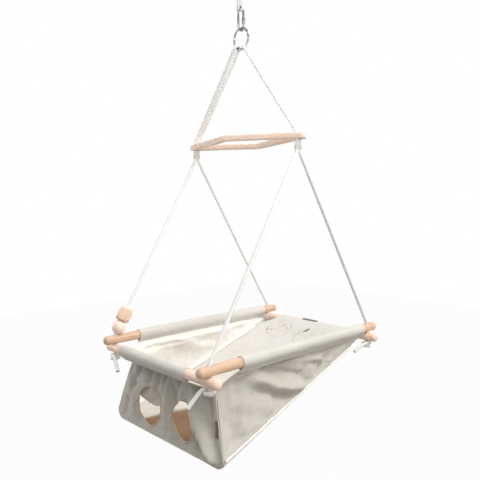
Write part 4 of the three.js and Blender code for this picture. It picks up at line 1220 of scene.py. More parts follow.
# %% Lock barrel
LOCK = 17
lock_z = gate_bottom + 5 + LOCK / 2
inner, outer = 3.9, 5.5
upper_half = [(outer - 0.35, 6.0), (outer, 6.4), (outer, 7.9), (outer - 0.6, 8.5), (inner, 8.5)]
section = [(r, -z) for r, z in reversed(upper_half)] + upper_half
sides = 48
points, faces = [], []
for k in range(sides):
    angle = 2 * math.pi * k / sides
    points += [(r * math.cos(angle), r * math.sin(angle), z) for r, z in section]
    here, ahead = k * len(section), (k + 1) % sides * len(section)
    for j in range(len(section)):
        turn = (j + 1) % len(section)
        faces.append((here + j, ahead + j, ahead + turn, here + turn))
lock = add_mesh("lock_barrel", points, faces)
outward(lock.data)
lock.data.set_sharp_from_angle(angle=math.radians(30))
grow(lock, rib_tree, rib_sockets, {"Count": 34, "Radius": (outer - 0.4) * MM, "Rib length": 0.0115,
                                   "Rib width": 0.0005, "Steel": steel})
shift(lock, Matrix.Translation((BEND * MM, 0, lock_z * MM)))
stand_in(lock, "carabiner_lock_sleeve", "lock")
print("lock barrel", len(lock.data.polygons), "faces")


# %% [markdown]
# ## The bag's cloth
# The bag is four sheets of canvas. Each one is a surface worked out from its real borders: the sleeve round
# its rod, the seams at the corners and the turned-up rim of the base. Folds and gathers are added where the
# weight pulls, then the surface gets the thickness of the cloth and a UV map in real millimetres.

# %% Borders and stretched sheets
CLOTH = 2.4
PLY = CLOTH + SEAT          # from the middle of one sheet to the middle of the next that lies on it


def straight(start, stop):
    """A border as a function of the share of its length."""
    start, stop = np.asarray(start, float), np.asarray(stop, float)
    return lambda t: start + (stop - start) * np.asarray(t, float)[..., None]


def bent(start, middle, stop):
    """A border that curves once, pulled towards its middle point."""
    start, middle, stop = (np.asarray(point, float) for point in (start, middle, stop))

    def at(t):
        t = np.asarray(t, float)[..., None]
        return (1 - t) ** 2 * start + 2 * t * (1 - t) * middle + t ** 2 * stop
    return at


def two_parts(first, second, share):
    """One border made of two: the first up to the share, then the second."""
    def at(t):
        t = np.asarray(t, float)
        early = first(np.clip(t / share, 0, 1))
        late = second(np.clip((t - share) / (1 - share), 0, 1))
        return np.where((t < share)[..., None], early, late)
    return at


def stretched(top, bottom, left, right):
    """A sheet stretched between four borders."""
    def at(u, v):
        u, v = np.asarray(u, float), np.asarray(v, float)
        a, b = u[..., None], v[..., None]
        zero, one = np.zeros_like(u), np.ones_like(u)
        corners = (top(zero) * (1 - a) * (1 - b) + top(one) * a * (1 - b)
                   + bottom(zero) * (1 - a) * b + bottom(one) * a * b)
        return left(v) * (1 - a) + right(v) * a + top(u) * (1 - b) + bottom(u) * b - corners
    return at


print("half-way along a 10 mm border:", straight((0, 0, 0), (10, 0, 0))(0.5))


# %% From a surface to cloth
def thicken(name, points, faces, thickness, uv_mm, finish):
    """Give an open sheet its thickness: two faces and a wall along every border."""
    points = np.asarray(points, float)
    normals = np.zeros_like(points)
    for face in faces:
        corner = points[list(face)]
        normal = np.cross(corner[1] - corner[0], corner[2] - corner[0])
        if len(face) == 4:
            normal = normal + np.cross(corner[2] - corner[0], corner[3] - corner[0])
        normals[list(face)] += normal
    normals = unit(normals)
    count = len(points)
    both = np.vstack([points + normals * thickness / 2, points - normals * thickness / 2])
    solid = [tuple(face) for face in faces] + [tuple(count + k for k in reversed(face)) for face in faces]
    used = {(a, b) for face in faces for a, b in zip(face, face[1:] + face[:1])}
    solid += [(b, a, a + count, b + count) for a, b in used if (b, a) not in used]
    piece = add_mesh(name, both, solid, uv_mm=np.vstack([uv_mm, uv_mm]))
    piece.data.set_sharp_from_angle(angle=math.radians(60))
    piece.data.materials.append(finish)
    return piece


def line_cloth(piece, count, lit_faces, inside, lining, pale, both_faces=True):
    """Share a sheet's faces out: canvas painted darker outside, its lining painted lighter inside, and the
    pale, painted-light finish on lit_faces.

    The first count faces are one side of the sheet and the next count the other.
    """
    polygons = piece.data.polygons
    piece.data.materials.append(pale)
    piece.data.materials.append(lining)
    facing = sum((polygons[k].normal * polygons[k].area for k in range(count) if k not in lit_faces), Vector())
    front_inside = facing.dot(Vector(inside)) > 0
    index = np.zeros(len(polygons), np.int32)
    index[:count] = 2 if front_inside else 0
    index[count:2 * count] = 0 if front_inside else 2
    for k in lit_faces:
        for face in (k, count + k):
            if both_faces or index[face] == 0:
                index[face] = 1
    polygons.foreach_set("material_index", index)


def grid_faces(rows, columns):
    return [(i * columns + j, i * columns + j + 1, (i + 1) * columns + j + 1, (i + 1) * columns + j)
            for i in range(rows - 1) for j in range(columns - 1)]


def lattice_uv(grid):
    """UV in millimetres from the mean distances along the rows and down the columns of a grid."""
    across = np.linalg.norm(np.diff(grid, axis=1), axis=2).mean(axis=0)
    down = np.linalg.norm(np.diff(grid, axis=0), axis=2).mean(axis=1)
    u = np.concatenate([[0], np.cumsum(across)])
    v = np.concatenate([[0], np.cumsum(down)])
    return np.stack(np.meshgrid(u, v), axis=-1).reshape(-1, 2)


print("a grid of 3 by 4 points has", len(grid_faces(3, 4)), "faces")


# %% Folds and ripples
def fold(s, t, start, stop, width, rise):
    """A soft ridge, or with a negative rise a valley, between two places of a sheet, all in millimetres."""
    start, stop = np.array(start, float), np.array(stop, float)
    run = stop - start
    along = ((s - start[0]) * run[0] + (t - start[1]) * run[1]) / run.dot(run)
    on = np.clip(along, 0, 1)
    gap = np.hypot(s - start[0] - on * run[0], t - start[1] - on * run[1])
    fade = np.clip(np.minimum(along + 0.25, 1.25 - along) / 0.5, 0, 1)
    return rise * np.exp(-(gap / width) ** 2) * fade ** 2 * (3 - 2 * fade)


def swell_of(folds, u, v, width, drop):
    """All the folds of a panel together; each runs between two places given as shares of width and drop."""
    return sum(fold(u * width, v * drop, (a * width, b * drop), (c * width, d * drop), reach, rise)
               for (a, b), (c, d), reach, rise in folds)


def ripple(points, spacing, depth, seed):
    """Small uneven waves of the given spacing, from smooth noise in space."""
    return np.array([depth * noise.noise(Vector((x / spacing + seed, y / spacing, z / spacing)))
                     for x, y, z in points.reshape(-1, 3)]).reshape(points.shape[:-1])


side_height = float(fold(5, 3, (0, 0), (10, 0), 6, 5))
print("a fold 5 mm high is", round(side_height, 1), "mm high 3 mm from its ridge")


# %% [markdown]
# A sleeve is the part of a sheet that wraps its rod. Its section is worked out once, from the stitches up
# round the rod and back, and then drawn along the rod. Cloth never lies evenly, so it lifts off a little.

# %% Rod sleeves
TUBE_DROP = 21.5            # from the rod's axis down to the foot of its tube of cloth
SNUG = ROD / 2 + SEAT + CLOTH / 2


def sleeve_steps(drop):
    """The section of a rod sleeve as (outward, down) from the rod: up from the stitches, round, and back.

    The cloth hugs the rod and closes again under it, so the tube stands out over the panel, which begins
    at its foot and runs down past the stitches.
    """
    open_angle = math.radians(42)
    turn = [(-SNUG * math.sin(a), SNUG * math.cos(a))
            for a in np.linspace(open_angle, 2 * math.pi - open_angle, 13)]
    inner = [(-PLY, drop), (-PLY, (drop + SNUG + 7) / 2), (-PLY - 0.6, SNUG + 5.5)]
    route = [(out, down, 0) for out, down in inner + turn + [(0.0, TUBE_DROP)]]
    return smooth_path(route, 2.4)[0][:, :2]


def rod_sleeve(steps, line, out, down, depth, seed, fade):
    """A sleeve's section drawn along a line of points on its rod; fade keeps its ends close to the rod."""
    section = steps[:, :1] * np.array(out, float) + steps[:, 1:] * np.array(down, float)
    tube = line + section[:, None, :]
    stretch = np.where(line[0] != line[-1], 0.35, 1)
    lift = np.abs(ripple(tube * stretch, 20, depth, seed)) * fade
    return tube + unit(section)[:, None, :] * lift[..., None]


print("once round a rod takes", len(sleeve_steps(28)), "steps of cloth")


# %% [markdown]
# The sheets meet along shared lines, so these are functions that every sheet reads: the slope of the floor,
# the top of its turned-up rim, and the seam at each foot corner.

# %% The bag's measures
BAG_FOOT_X, BAG_HEAD_X = -315.0, 256.0
BAG_FOOT_HALF, BAG_HEAD_HALF = 258.0, 226.0
BAG_DEPTH, SEAM_TOP_DROP = 258.0, 66.0      # both below the long rods
RIM_AT_FOOT, RIM_AT_HEAD = 25, 9            # heights of the turned-up rim
BAG_FOOT_Z = LONG_ROD_Z - BAG_DEPTH
BASE_SLOPE = (SHORT_ROD_Z - BAG_FOOT_Z) / (FRAME_LENGTH / 2 - BAG_FOOT_X)


def base_z(x):
    return BAG_FOOT_Z + (x - BAG_FOOT_X) * BASE_SLOPE


def along_bag(x):
    return (x - BAG_FOOT_X) / (BAG_HEAD_X - BAG_FOOT_X)


def rim_top(x):
    return base_z(x) + RIM_AT_FOOT + (RIM_AT_HEAD - RIM_AT_FOOT) * along_bag(x)


def rim_lift(breadth):
    """How far the base has turned up at a breadth: 0 over the floor, 1 at the top of the rim."""
    inside_rim = np.clip((np.abs(breadth) - 0.9) / 0.1, 0, 1)
    return 1 - np.sqrt(1 - inside_rim ** 2)


def corner_seam(side, shift_x, shift_y):
    """The three points that bend the foot corner seam, from its free top down to the rim."""
    top = np.array([-291.0, side * 202.0, LONG_ROD_Z - SEAM_TOP_DROP])
    bottom = np.array([BAG_FOOT_X, side * BAG_FOOT_HALF, rim_top(BAG_FOOT_X)])
    middle = (top + bottom) / 2 - (4, 0, 0)
    return [point + (shift_x, side * shift_y, 0) for point in (top, middle, bottom)]


print("the floor slopes by", round(math.degrees(math.atan(BASE_SLOPE)), 1), "degrees")


# %% The base sheet's surface
def base_points(share, breadth):
    """The middle of the base sheet, for a share of its length and a breadth from -1 to 1."""
    share, breadth = np.asarray(share, float), np.asarray(breadth, float)
    x = BAG_FOOT_X + CLOTH + (BAG_HEAD_X - BAG_FOOT_X - CLOTH) * share
    half = BAG_FOOT_HALF + (BAG_HEAD_HALF - BAG_FOOT_HALF) * along_bag(x)
    sag = 7 * np.sin(math.pi * share) * (1 - breadth ** 2)
    z = base_z(x) + (rim_top(x) - base_z(x)) * rim_lift(breadth) - sag
    points = np.stack([x, half * breadth, z], axis=-1)
    calm = np.clip((1 - np.abs(breadth)) * 6, 0, 1) * np.clip(share * 14, 0, 1)
    calm = calm * np.clip((1 - share) * 8, 0.15, 1)
    waves = ripple(points * (0.7, 1, 0), 70, 5.0, 11.0) + ripple(points * (1, 1, 0), 24, 1.4, 4.0)
    y = half * breadth
    pull = fold(x, y, (-250, -150), (120, -40), 45, 5) + fold(x, y, (-230, 170), (60, 60), 40, 5)
    points[..., 2] += calm * (waves + pull)
    return points


def base_share(x):
    """The share of the base sheet's length at a place along the bag."""
    return (x - BAG_FOOT_X - CLOTH) / (BAG_HEAD_X - BAG_FOOT_X - CLOTH)


print("the middle of the floor is at", base_points(0.5, 0).round(1))


# %% [markdown]
# ## Side panels
# A side panel is a triangle of canvas: wide at the foot, almost nothing at the head. Its sleeve hangs on
# the long rod, so the cloth is drawn into slanting folds from the sleeve's foot end to the rim. Each fold is
# a soft ridge or valley between two given places.

# %% Folds of the side panels
SIDE_WIDTH, SIDE_DROP = 540.0, 190.0
# Each fold: where it starts and ends as shares of the width and drop, how wide it is, and how far it rises
NEAR_FOLDS = (((0.1, 0.1), (0.56, 0.92), 21, 24), ((0.22, 0.42), (0.47, 0.92), 14, -19),
              ((0.22, 0.06), (0.54, 0.62), 12, -16), ((0.54, 0.6), (0.61, 1.0), 13, -17),
              ((0.75, 0.5), (0.68, 1.0), 12, -13), ((0.42, 0.12), (0.68, 0.4), 22, 14),
              ((0.07, 0.12), (0.07, 0.55), 12, 10), ((0.11, 0.6), (0.04, 1.0), 10, -12),
              ((0.17, 0.45), (0.12, 0.85), 16, 9), ((0.02, 0.25), (0.5, 0.12), 11, -11),
              ((0.34, 0.5), (0.3, 0.95), 13, 7), ((0.62, 0.35), (0.8, 0.8), 10, 7))
FAR_FOLDS = (((0.06, 0.05), (0.5, 0.8), 26, 8), ((0.25, 0.1), (0.7, 0.9), 18, -6),
             ((0.7, 0.05), (0.85, 0.8), 20, 5), ((0.1, 0.5), (0.05, 1.0), 14, -5))
print(len(NEAR_FOLDS), "folds near,", len(FAR_FOLDS), "far")


# %% Borders of a side panel
def side_borders(side, foot_end, head_end):
    """The sleeve's line, the lower edge inside the rim, the foot seam and the head end."""
    rod_y = side * FRAME_WIDTH / 2
    start_foot, start_head = ((x, rod_y, LONG_ROD_Z - TUBE_DROP) for x in (foot_end, head_end))
    top, middle, bottom = corner_seam(side, 1.44, 0)
    bottom[2] = rim_top(bottom[0]) + 1.5
    bottom[1] -= side * PLY
    rim_head = (BAG_HEAD_X, side * (BAG_HEAD_HALF - PLY), rim_top(BAG_HEAD_X) + 1.5)
    free_edge = bent(start_foot, (np.array(start_foot) + top) / 2 + (9, 0, 10), top)
    foot_seam = two_parts(free_edge, bent(top, middle, bottom), 0.3)
    return (straight(start_foot, start_head), straight(bottom, rim_head), foot_seam,
            straight(start_head, rim_head))


print("a side panel's foot seam starts at", side_borders(NEAR, -229, 304)[2](0).round(1))


# %% Hanging cloth of a side panel
def side_cloth(side, borders, folds, seed):
    """The panel between its borders, with its folds and ripples pushed outwards."""
    sheet = stretched(*borders)
    u, v = np.meshgrid(np.linspace(0, 1, 121), np.linspace(0, 1, 54)[1:])
    panel = sheet(u, v)
    swell = swell_of(folds, u, v, SIDE_WIDTH, SIDE_DROP)
    # Right under the sleeve the cloth is drawn in by the stitches, then it swells out again
    height = np.linalg.norm(sheet(u, np.ones_like(u)) - sheet(u, np.zeros_like(u)), axis=-1)
    depth = v * height
    swell = swell - 12 * np.exp(-((depth - 24) / 13) ** 2) * np.clip(height / 60 - 1, 0, 1)
    ease = np.clip((depth - 5) / 22, 0, 1)
    ends = np.clip(u * 14, 0, 1) * np.clip((1 - u) * 8, 0, 1) * np.clip((1 - v) * 12, 0, 1)
    hold = ends * ease ** 2 * (3 - 2 * ease)
    panel[..., 1] += side * hold * (swell + ripple(panel, 38, 4.5, seed) + ripple(panel, 15, 1.5, seed + 9))
    return panel


def side_hem(side, lower_edge):
    """The hem that lies against the inside of the base's turned-up rim, down to the floor."""
    u, breadth = np.meshgrid(np.linspace(0, 1, 121), np.linspace(1, 0.93, 7))
    share = base_share(lower_edge(u)[..., 0])
    hem = base_points(share, side * breadth)
    slope_across = hem - base_points(share, side * (breadth - 0.001))
    slope_along = base_points(share + 0.001, side * breadth) - hem
    return hem + unit(np.cross(slope_along, slope_across) * side) * PLY


print("the near hem's rows:", len(side_hem(NEAR, side_borders(NEAR, -229, 304)[1])))


# %% Side panels
def side_panel(name, side, sleeve_ends, folds, seed):
    """One grid from the sleeve's inner ply to the hem; returns it and the number of rows in the sleeve."""
    borders = side_borders(side, *sleeve_ends)
    steps = sleeve_steps(28)
    across = np.linspace(0, 1, 121)
    line = straight(*((x, side * FRAME_WIDTH / 2, LONG_ROD_Z) for x in sleeve_ends))(across)
    fade = np.clip(np.minimum(across, 1 - across) * 30, 0, 1)
    tube = rod_sleeve(steps, line, (0, side, 0), (0, 0, -1), 1.3, seed + 4, fade)
    grid = np.vstack([tube, side_cloth(side, borders, folds, seed), side_hem(side, borders[1])])
    if side < 0:
        grid = grid[:, ::-1]
    faces = grid_faces(*grid.shape[:2])
    points = grid.reshape(-1, 3)
    piece = thicken(name + "_cloth", points, faces, CLOTH, lattice_uv(grid), canvas)
    sleeve_faces = set(range((len(steps) - 1) * 120))
    line_cloth(piece, len(faces), sleeve_faces, (0, -side, 0), canvas_lining, canvas_sleeve_light)
    stand_in(piece, name, "cradle")
    return grid, len(steps)


near_grid, near_start = side_panel("near_side_panel", NEAR, (-229, 304), NEAR_FOLDS, 0.0)
far_grid, far_start = side_panel("far_side_panel", FAR, (-252, 304), FAR_FOLDS, 5.0)


# %% [markdown]
# ## Foot panel
# The foot panel hangs from a shorter sleeve, so its wider cloth is gathered under the foot rod, and it has
# two bound leg holes. A plain grid can't hold round holes, so its surface is triangulated in its own flat
# plane, with the outlines of the holes as fixed edges, and then laid onto the curved sheet.

# %% Folds and gathers of the foot panel
FOOT_WIDTH, FOOT_DROP = 440.0, 200.0
FOOT_SLEEVE = (-136, 186)       # where the sleeve ends, across the bag
# Each gather: its place, its depth, its width and how far down it reaches
PLEATS = ((0.1, 20, 0.015, 0.4), (0.2, 25, 0.019, 0.5), (0.29, 16, 0.013, 0.3), (0.4, 24, 0.018, 0.42),
          (0.47, 15, 0.012, 0.3), (0.545, 26, 0.018, 0.5), (0.63, 25, 0.02, 0.55), (0.73, 24, 0.019, 0.5),
          (0.8, 15, 0.013, 0.35), (0.88, 20, 0.016, 0.45))
FOOT_FOLDS = (((0.24, 0.44), (0.05, 0.95), 19, 26), ((0.33, 0.5), (0.16, 1.0), 15, -12),
              ((0.52, 0.25), (0.5, 0.8), 13, 8), ((0.45, 0.3), (0.4, 0.7), 12, -6),
              ((0.93, 0.55), (0.8, 0.95), 14, 8), ((0.97, 0.3), (0.9, 0.55), 12, -7),
              ((0.07, 0.2), (0.03, 0.75), 16, -9), ((0.95, 0.3), (0.99, 0.95), 22, 8),
              ((0.5, 0.35), (0.44, 0.9), 26, 5), ((0.36, 0.6), (0.3, 1.0), 16, -6),
              ((0.88, 0.25), (0.93, 0.8), 16, -6), ((0.6, 0.88), (0.95, 0.93), 14, -4))
print(len(PLEATS), "gathers and", len(FOOT_FOLDS), "folds")


# %% Foot panel surface
def foot_sheet():
    """The foot panel stretched between its sleeve, both corner seams and the floor."""
    starts = [(-FRAME_LENGTH / 2, y, SHORT_ROD_Z - TUBE_DROP) for y in FOOT_SLEEVE]
    borders = []
    for side, start in zip((NEAR, FAR), starts):
        top, middle, bottom = corner_seam(side, -0.72, -1.8)
        borders.append(two_parts(straight(start, top), bent(top, middle, bottom), 2 / 9))
    left, right = borders
    floor_z = BAG_FOOT_Z - CLOTH / 2

    def bottom_edge(u):
        u = np.asarray(u, float)
        edge = left(np.ones_like(u)) * (1 - u[..., None]) + right(np.ones_like(u)) * u[..., None]
        edge[..., 2] = floor_z + (edge[..., 2] - floor_z) * rim_lift(2 * u - 1)
        return edge
    return stretched(straight(*starts), bottom_edge, left, right)


foot_surface = foot_sheet()


def foot_points(u, v):
    """The foot panel's places, with its gathers and folds pushed out towards the foot end."""
    u, v = np.asarray(u, float), np.asarray(v, float)
    points = foot_surface(u, v)
    gathers = 0
    for place, depth, width, reach in PLEATS:
        centre = place + (place - 0.5) * 0.12 * v
        valley = (np.exp(-((u - centre) / width) ** 2)
                  - 0.3 * np.exp(-((u - centre - 2.4 * width) / width / 1.3) ** 2))
        gathers = gathers + depth * valley * np.clip(1 - v / reach, 0, 1)
    gathers = gathers * np.clip((v - 0.01) * 22, 0, 1)
    swell = swell_of(FOOT_FOLDS, u, v, FOOT_WIDTH, FOOT_DROP)
    hold = np.clip(u * 16, 0, 1) * np.clip((1 - u) * 16, 0, 1) * np.clip((1 - v) * 14, 0, 1)
    uneven = (ripple(points, 42, 5.0, 2.0) + ripple(points, 17, 2.8, 7.0)) * np.clip(v * 8, 0, 1)
    points[..., 0] -= hold * (swell + uneven - gathers)
    return points


print("the middle of the foot panel is at", foot_points(0.5, 0.5).round(1))


# %% Finding places on the foot panel
LEG_HOLE_HEIGHT, LEG_HOLE_Z = 120.0, LONG_ROD_Z - 183
# Each leg hole: its middle across the bag, its width and its tilt
NEAR_HOLE, FAR_HOLE = (-74, 88, math.radians(24)), (88, 126, math.radians(14))


def on_foot(y, z, lift):
    """The place of the foot panel at a breadth and a height, lifted off its sheet towards the outside."""
    y, z = np.asarray(y, float), np.asarray(z, float)
    u, v = np.full(y.shape, 0.5), np.full(y.shape, 0.5)
    small = 1e-3
    for _ in range(14):
        here = foot_surface(u, v)
        along_u = (foot_surface(u + small, v) - here) / small
        along_v = (foot_surface(u, v + small) - here) / small
        spread = along_u[..., 1] * along_v[..., 2] - along_v[..., 1] * along_u[..., 2]
        miss_y, miss_z = y - here[..., 1], z - here[..., 2]
        u = np.clip(u + (miss_y * along_v[..., 2] - miss_z * along_v[..., 1]) / spread, 0.002, 0.998)
        v = np.clip(v + (miss_z * along_u[..., 1] - miss_y * along_u[..., 2]) / spread, 0.002, 0.998)
    here = foot_points(u, v)
    across = unit(np.cross(foot_points(u + small, v) - here, foot_points(u, v + small) - here))
    return here + across * lift, u, v


def leg_hole(hole, inset, count):
    """A leg hole's outline as breadths and heights, a little narrower at the bottom."""
    place, width, tilt = hole
    angles = np.linspace(0, 2 * math.pi, count, endpoint=False)
    up = (LEG_HOLE_HEIGHT / 2 - inset) * np.sin(angles)
    out = (width / 2 - inset) * np.cos(angles) * (1 + 0.1 * np.sin(angles))
    y = place + out * math.cos(tilt) + up * math.sin(tilt)
    return y, LEG_HOLE_Z + up * math.cos(tilt) - out * math.sin(tilt)


print("leg holes", NEAR_HOLE[1], "and", FAR_HOLE[1], "mm wide")


# %% Flat pattern of the foot panel
COLUMNS, ROWS = 180, 60


def foot_pattern():
    """The panel laid flat in millimetres, as triangles that leave the leg holes open."""
    def flat_places(shares):
        return [Vector((u * FOOT_WIDTH, v * FOOT_DROP)) for u, v in shares]
    loops = [flat_places(zip(*on_foot(*leg_hole(hole, 0, 90), 0)[1:])) for hole in (NEAR_HOLE, FAR_HOLE)]
    flat = flat_places([(k / COLUMNS, 0) for k in range(COLUMNS)] + [(1, k / ROWS) for k in range(ROWS)]
                       + [(1 - k / COLUMNS, 1) for k in range(COLUMNS)]
                       + [(0, 1 - k / ROWS) for k in range(ROWS)])
    edges = [(k, (k + 1) % len(flat)) for k in range(len(flat))]
    for i in range(1, ROWS):
        for j in range(1, COLUMNS):
            point = Vector((j / COLUMNS * FOOT_WIDTH, i / ROWS * FOOT_DROP))
            if all(not inside(point, loop) and min((point - p).length for p in loop[::3]) > 2.5
                   for loop in loops):
                flat.append(point)
    for loop in loops:
        start = len(flat)
        flat += loop
        edges += [(start + k, start + (k + 1) % len(loop)) for k in range(len(loop))]
    corners, _, triangles, _, _, _ = delaunay_2d_cdt(flat, edges, [], 0, 1e-5)
    faces = []
    for a, b, c in triangles:
        middle = (corners[a] + corners[b] + corners[c]) / 3
        if not any(inside(middle, loop) for loop in loops):
            faces.append((a, b, c))
    return np.array(corners), faces


foot_flat, foot_faces = foot_pattern()
print("foot panel laid flat:", len(foot_faces), "triangles")


# %% Foot panel
def foot_panel(flat, faces):
    """The pattern laid onto the hanging sheet, joined along its top to the sleeve round the foot rod."""
    points = foot_points(flat[:, 0] / FOOT_WIDTH, flat[:, 1] / FOOT_DROP)
    steps = sleeve_steps(26)[:-1]
    across = np.linspace(0, 1, COLUMNS + 1)
    line = straight(*((-FRAME_LENGTH / 2, y, SHORT_ROD_Z) for y in FOOT_SLEEVE))(across)
    fade = np.clip(np.minimum(across, 1 - across) * 30, 0, 1)
    tube = rod_sleeve(steps, line, (-1, 0, 0), (0, 0, -1), 1.6, 3.0, fade)
    top_row = [int(np.argmin(np.hypot(flat[:, 0] - share * FOOT_WIDTH, flat[:, 1]))) for share in across]
    start = len(points)
    last = start + (len(steps) - 1) * (COLUMNS + 1)
    tube_faces = [tuple(start + k for k in face) for face in grid_faces(len(steps), COLUMNS + 1)]
    tube_faces += [(last + k, last + k + 1, top_row[k + 1], top_row[k]) for k in range(COLUMNS)]
    points = np.vstack([points, tube.reshape(-1, 3)])
    outlook = [np.cross(*np.diff(points[list(face)], axis=0)[:2])[0] for face in (faces[0], tube_faces[-1])]
    if outlook[0] * outlook[1] < 0:
        faces = [face[::-1] for face in faces]
    high = np.cumsum(np.r_[0, np.linalg.norm(np.diff(steps, axis=0), axis=1)])
    sleeve_uv = np.stack(np.meshgrid(across * FOOT_WIDTH, high - high[-1]), axis=-1).reshape(-1, 2)
    uv = np.vstack([flat, sleeve_uv])
    sleeve_faces = set(range(len(faces), len(faces) + len(tube_faces)))
    faces = faces + tube_faces
    piece = thicken("foot_panel_cloth", points, faces, CLOTH, uv, canvas)
    line_cloth(piece, len(faces), sleeve_faces, (1, 0, 0), canvas_lining, canvas_sleeve_light)
    stand_in(piece, "foot_panel", "cradle")


foot_panel(foot_flat, foot_faces)


# %% [markdown]
# ## Base sheet
# The base is the bag's floor. It turns up along both sides as a rim, sags a little under its own weight, and
# at the head end narrows to a sleeve round the head rod, which the sleeve's own section follows.

# %% Head sleeve
HEAD_SLEEVE = (158, 150)        # how far it reaches from the middle to the near and the far side
HEAD_AXIS = np.array([FRAME_LENGTH / 2, 0, SHORT_ROD_Z])
SLOPE = math.atan(BASE_SLOPE)
FOOTWARD = np.array([-math.cos(SLOPE), 0, -math.sin(SLOPE)])
UNDER = np.array([math.sin(SLOPE), 0, -math.cos(SLOPE)])


def head_sleeve(breadths):
    """The sheet's wrap over and round the head rod, back to where it is sewn under the floor."""
    turn = [(-SNUG * math.cos(a), -SNUG * math.sin(a), 0) for a in np.radians(np.linspace(-11, 180, 15))]
    steps = smooth_path(turn + [(12.5, 11, 0), (3.5, 22, 0), (-5.5, 31, 0), (-4.4, 44, 0)], 2.4)[0][:, :2]
    reach = np.where(breadths < 0, *HEAD_SLEEVE) * breadths
    fade = np.clip((1 - np.abs(breadths)) * 20, 0, 1)
    return rod_sleeve(steps, HEAD_AXIS + reach[:, None] * (0, 1, 0), UNDER, FOOTWARD, 1.2, 8.0, fade)


print("the head sleeve is", sum(HEAD_SLEEVE), "mm long")


# %% Base sheet
def base_sheet():
    """The floor, the neck towards the head and the head sleeve as one grid; returns the neck's rows."""
    rim = 1 - 0.1 * np.sin(np.linspace(0, math.pi / 2, 12))
    half_shares = np.concatenate([np.linspace(0, 0.9, 37)[:-1], rim[::-1]])
    breadths = np.concatenate([-half_shares[:0:-1], half_shares])
    floor = base_points(*np.meshgrid(np.linspace(0, 1, 111), breadths, indexing="ij"))
    tube = head_sleeve(breadths)
    # Between the bag's head corners and the sleeve the sheet tapers, with its free edges drawn in
    way = np.linspace(0, 1, 22)[1:-1, None, None]
    neck = floor[-1] * (1 - way) + tube[0] * way
    neck[..., 1] -= 10 * np.sin(math.pi * way[..., 0]) * np.sign(breadths) * np.abs(breadths) ** 6
    grid = np.vstack([floor, neck, tube])
    faces = grid_faces(*grid.shape[:2])
    points = grid.reshape(-1, 3)
    piece = thicken("base_sheet_cloth", points, faces, CLOTH, lattice_uv(grid), canvas)
    # The rim's outer faces take canvas_hem, which is a painted highlight
    rim_columns = [k for k in range(len(breadths) - 1) if abs(breadths[k] + breadths[k + 1]) > 1.8]
    hems = {row * (len(breadths) - 1) + k for row in range(110) for k in rim_columns}
    line_cloth(piece, len(faces), hems, (0, 0, 1), canvas_floor, canvas_hem, both_faces=False)
    stand_in(piece, "base_sheet", "cradle")
    return np.vstack([floor[-1:], neck, tube[:1]])


neck_grid = base_sheet()


# %% Rolled seams along the rims
def roll_seam(name, side):
    """The seam allowance of the side panel and the base's rim, rolled together into a soft cord."""
    share = np.linspace(0.002, 0.998, 150)
    line = base_points(share, np.full_like(share, side * 1.0)) + (0, side * 1.6, -1.5)
    line[:, 2] += ripple(line, 30, 1.6, 3.0)
    path, length = smooth_path(line, 3.0)

    def radius(along, angle):
        return 3.3 + 0.35 * np.sin(along / 7) + 0.25 * np.sin(along / 2.9 + angle)
    roll = sweep(name, path, radius, 12)
    # Painted highlight: the roll is painted near white
    roll.data.materials.append(canvas_hem)
    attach(roll, "cradle")
    print(name, round(length), "mm")


roll_seam("seam_roll_near", NEAR)
roll_seam("seam_roll_far", FAR)


# %% [markdown]
# ## Leg holes, flap and labels
# Each leg hole is bound with tan tape folded over its raw edge, so the binding is a tube along the
# hole. The far hole has a flap behind its upper half. The two labels are left blank.

# %% Bindings
def bind_leg_hole(name, hole):
    """Bias tape folded over the hole's edge."""
    route, _, _ = on_foot(*leg_hole(hole, 2.5, 110), 0)
    tape = sweep(name + "_tape", route, lambda along, angle: 2.3 + 0.12 * np.sin(along * 2.1), 14,
                 closed=True)
    tape.data.materials.append(tan_tape)
    stand_in(tape, name, "cradle")
    print(name, len(tape.data.polygons), "faces")


bind_leg_hole("leg_hole_binding_near", NEAR_HOLE)
bind_leg_hole("leg_hole_binding_far", FAR_HOLE)


# %% Flap and labels
def small_sheet(name, node, grid, thickness, material):
    """A flap or label as thick cloth from the grid of its middle surface."""
    piece = thicken(name, grid.reshape(-1, 3), grid_faces(*grid.shape[:2]), thickness, lattice_uv(grid),
                    material)
    stand_in(piece, node, "cradle")
    print(name, len(piece.data.polygons), "faces")
    return piece


def hang_flap():
    """A cloth flap that hangs inside the far leg hole from a line just above it, a little bowed."""
    v, across = np.meshgrid(np.linspace(0, 1, 36), np.linspace(-1, 1, 46), indexing="ij")
    place, _, tilt = FAR_HOLE
    centre = place + tilt * (LEG_HOLE_HEIGHT / 2 - v * 64)
    height = LEG_HOLE_Z + LEG_HOLE_HEIGHT / 2 + 8.8 - v * (64 - 14 * across ** 2)
    grid, _, _ = on_foot(centre + across * 69, height, 0)
    grid[..., 0] += 2.7 + 4 * np.sqrt(v) + 1.2 * np.sin(3 * across + 4 * v) * v
    flap = small_sheet("leg_hole_flap_cloth", "leg_hole_flap", grid, CLOTH, canvas)


def side_label():
    """The label caught in the near corner seam, curling off the foot panel."""
    share = (162 - SEAM_TOP_DROP) / (BAG_DEPTH - RIM_AT_FOOT - SEAM_TOP_DROP)
    anchor = bent(*corner_seam(NEAR, 0, 0))(np.array(share))
    up, along = np.meshgrid(np.linspace(0.5, -0.5, 19), np.linspace(0, 1, 9), indexing="ij")
    grid, _, _ = on_foot(anchor[1] + 4.8 + 14 * along, anchor[2] + 44 * up, (CLOTH + 1.2) / 2 + SEAT)
    grid[..., 0] -= 1.2 * along ** 2
    label = small_sheet("side_label", "side_tag", grid, 1.2, brown_satin)


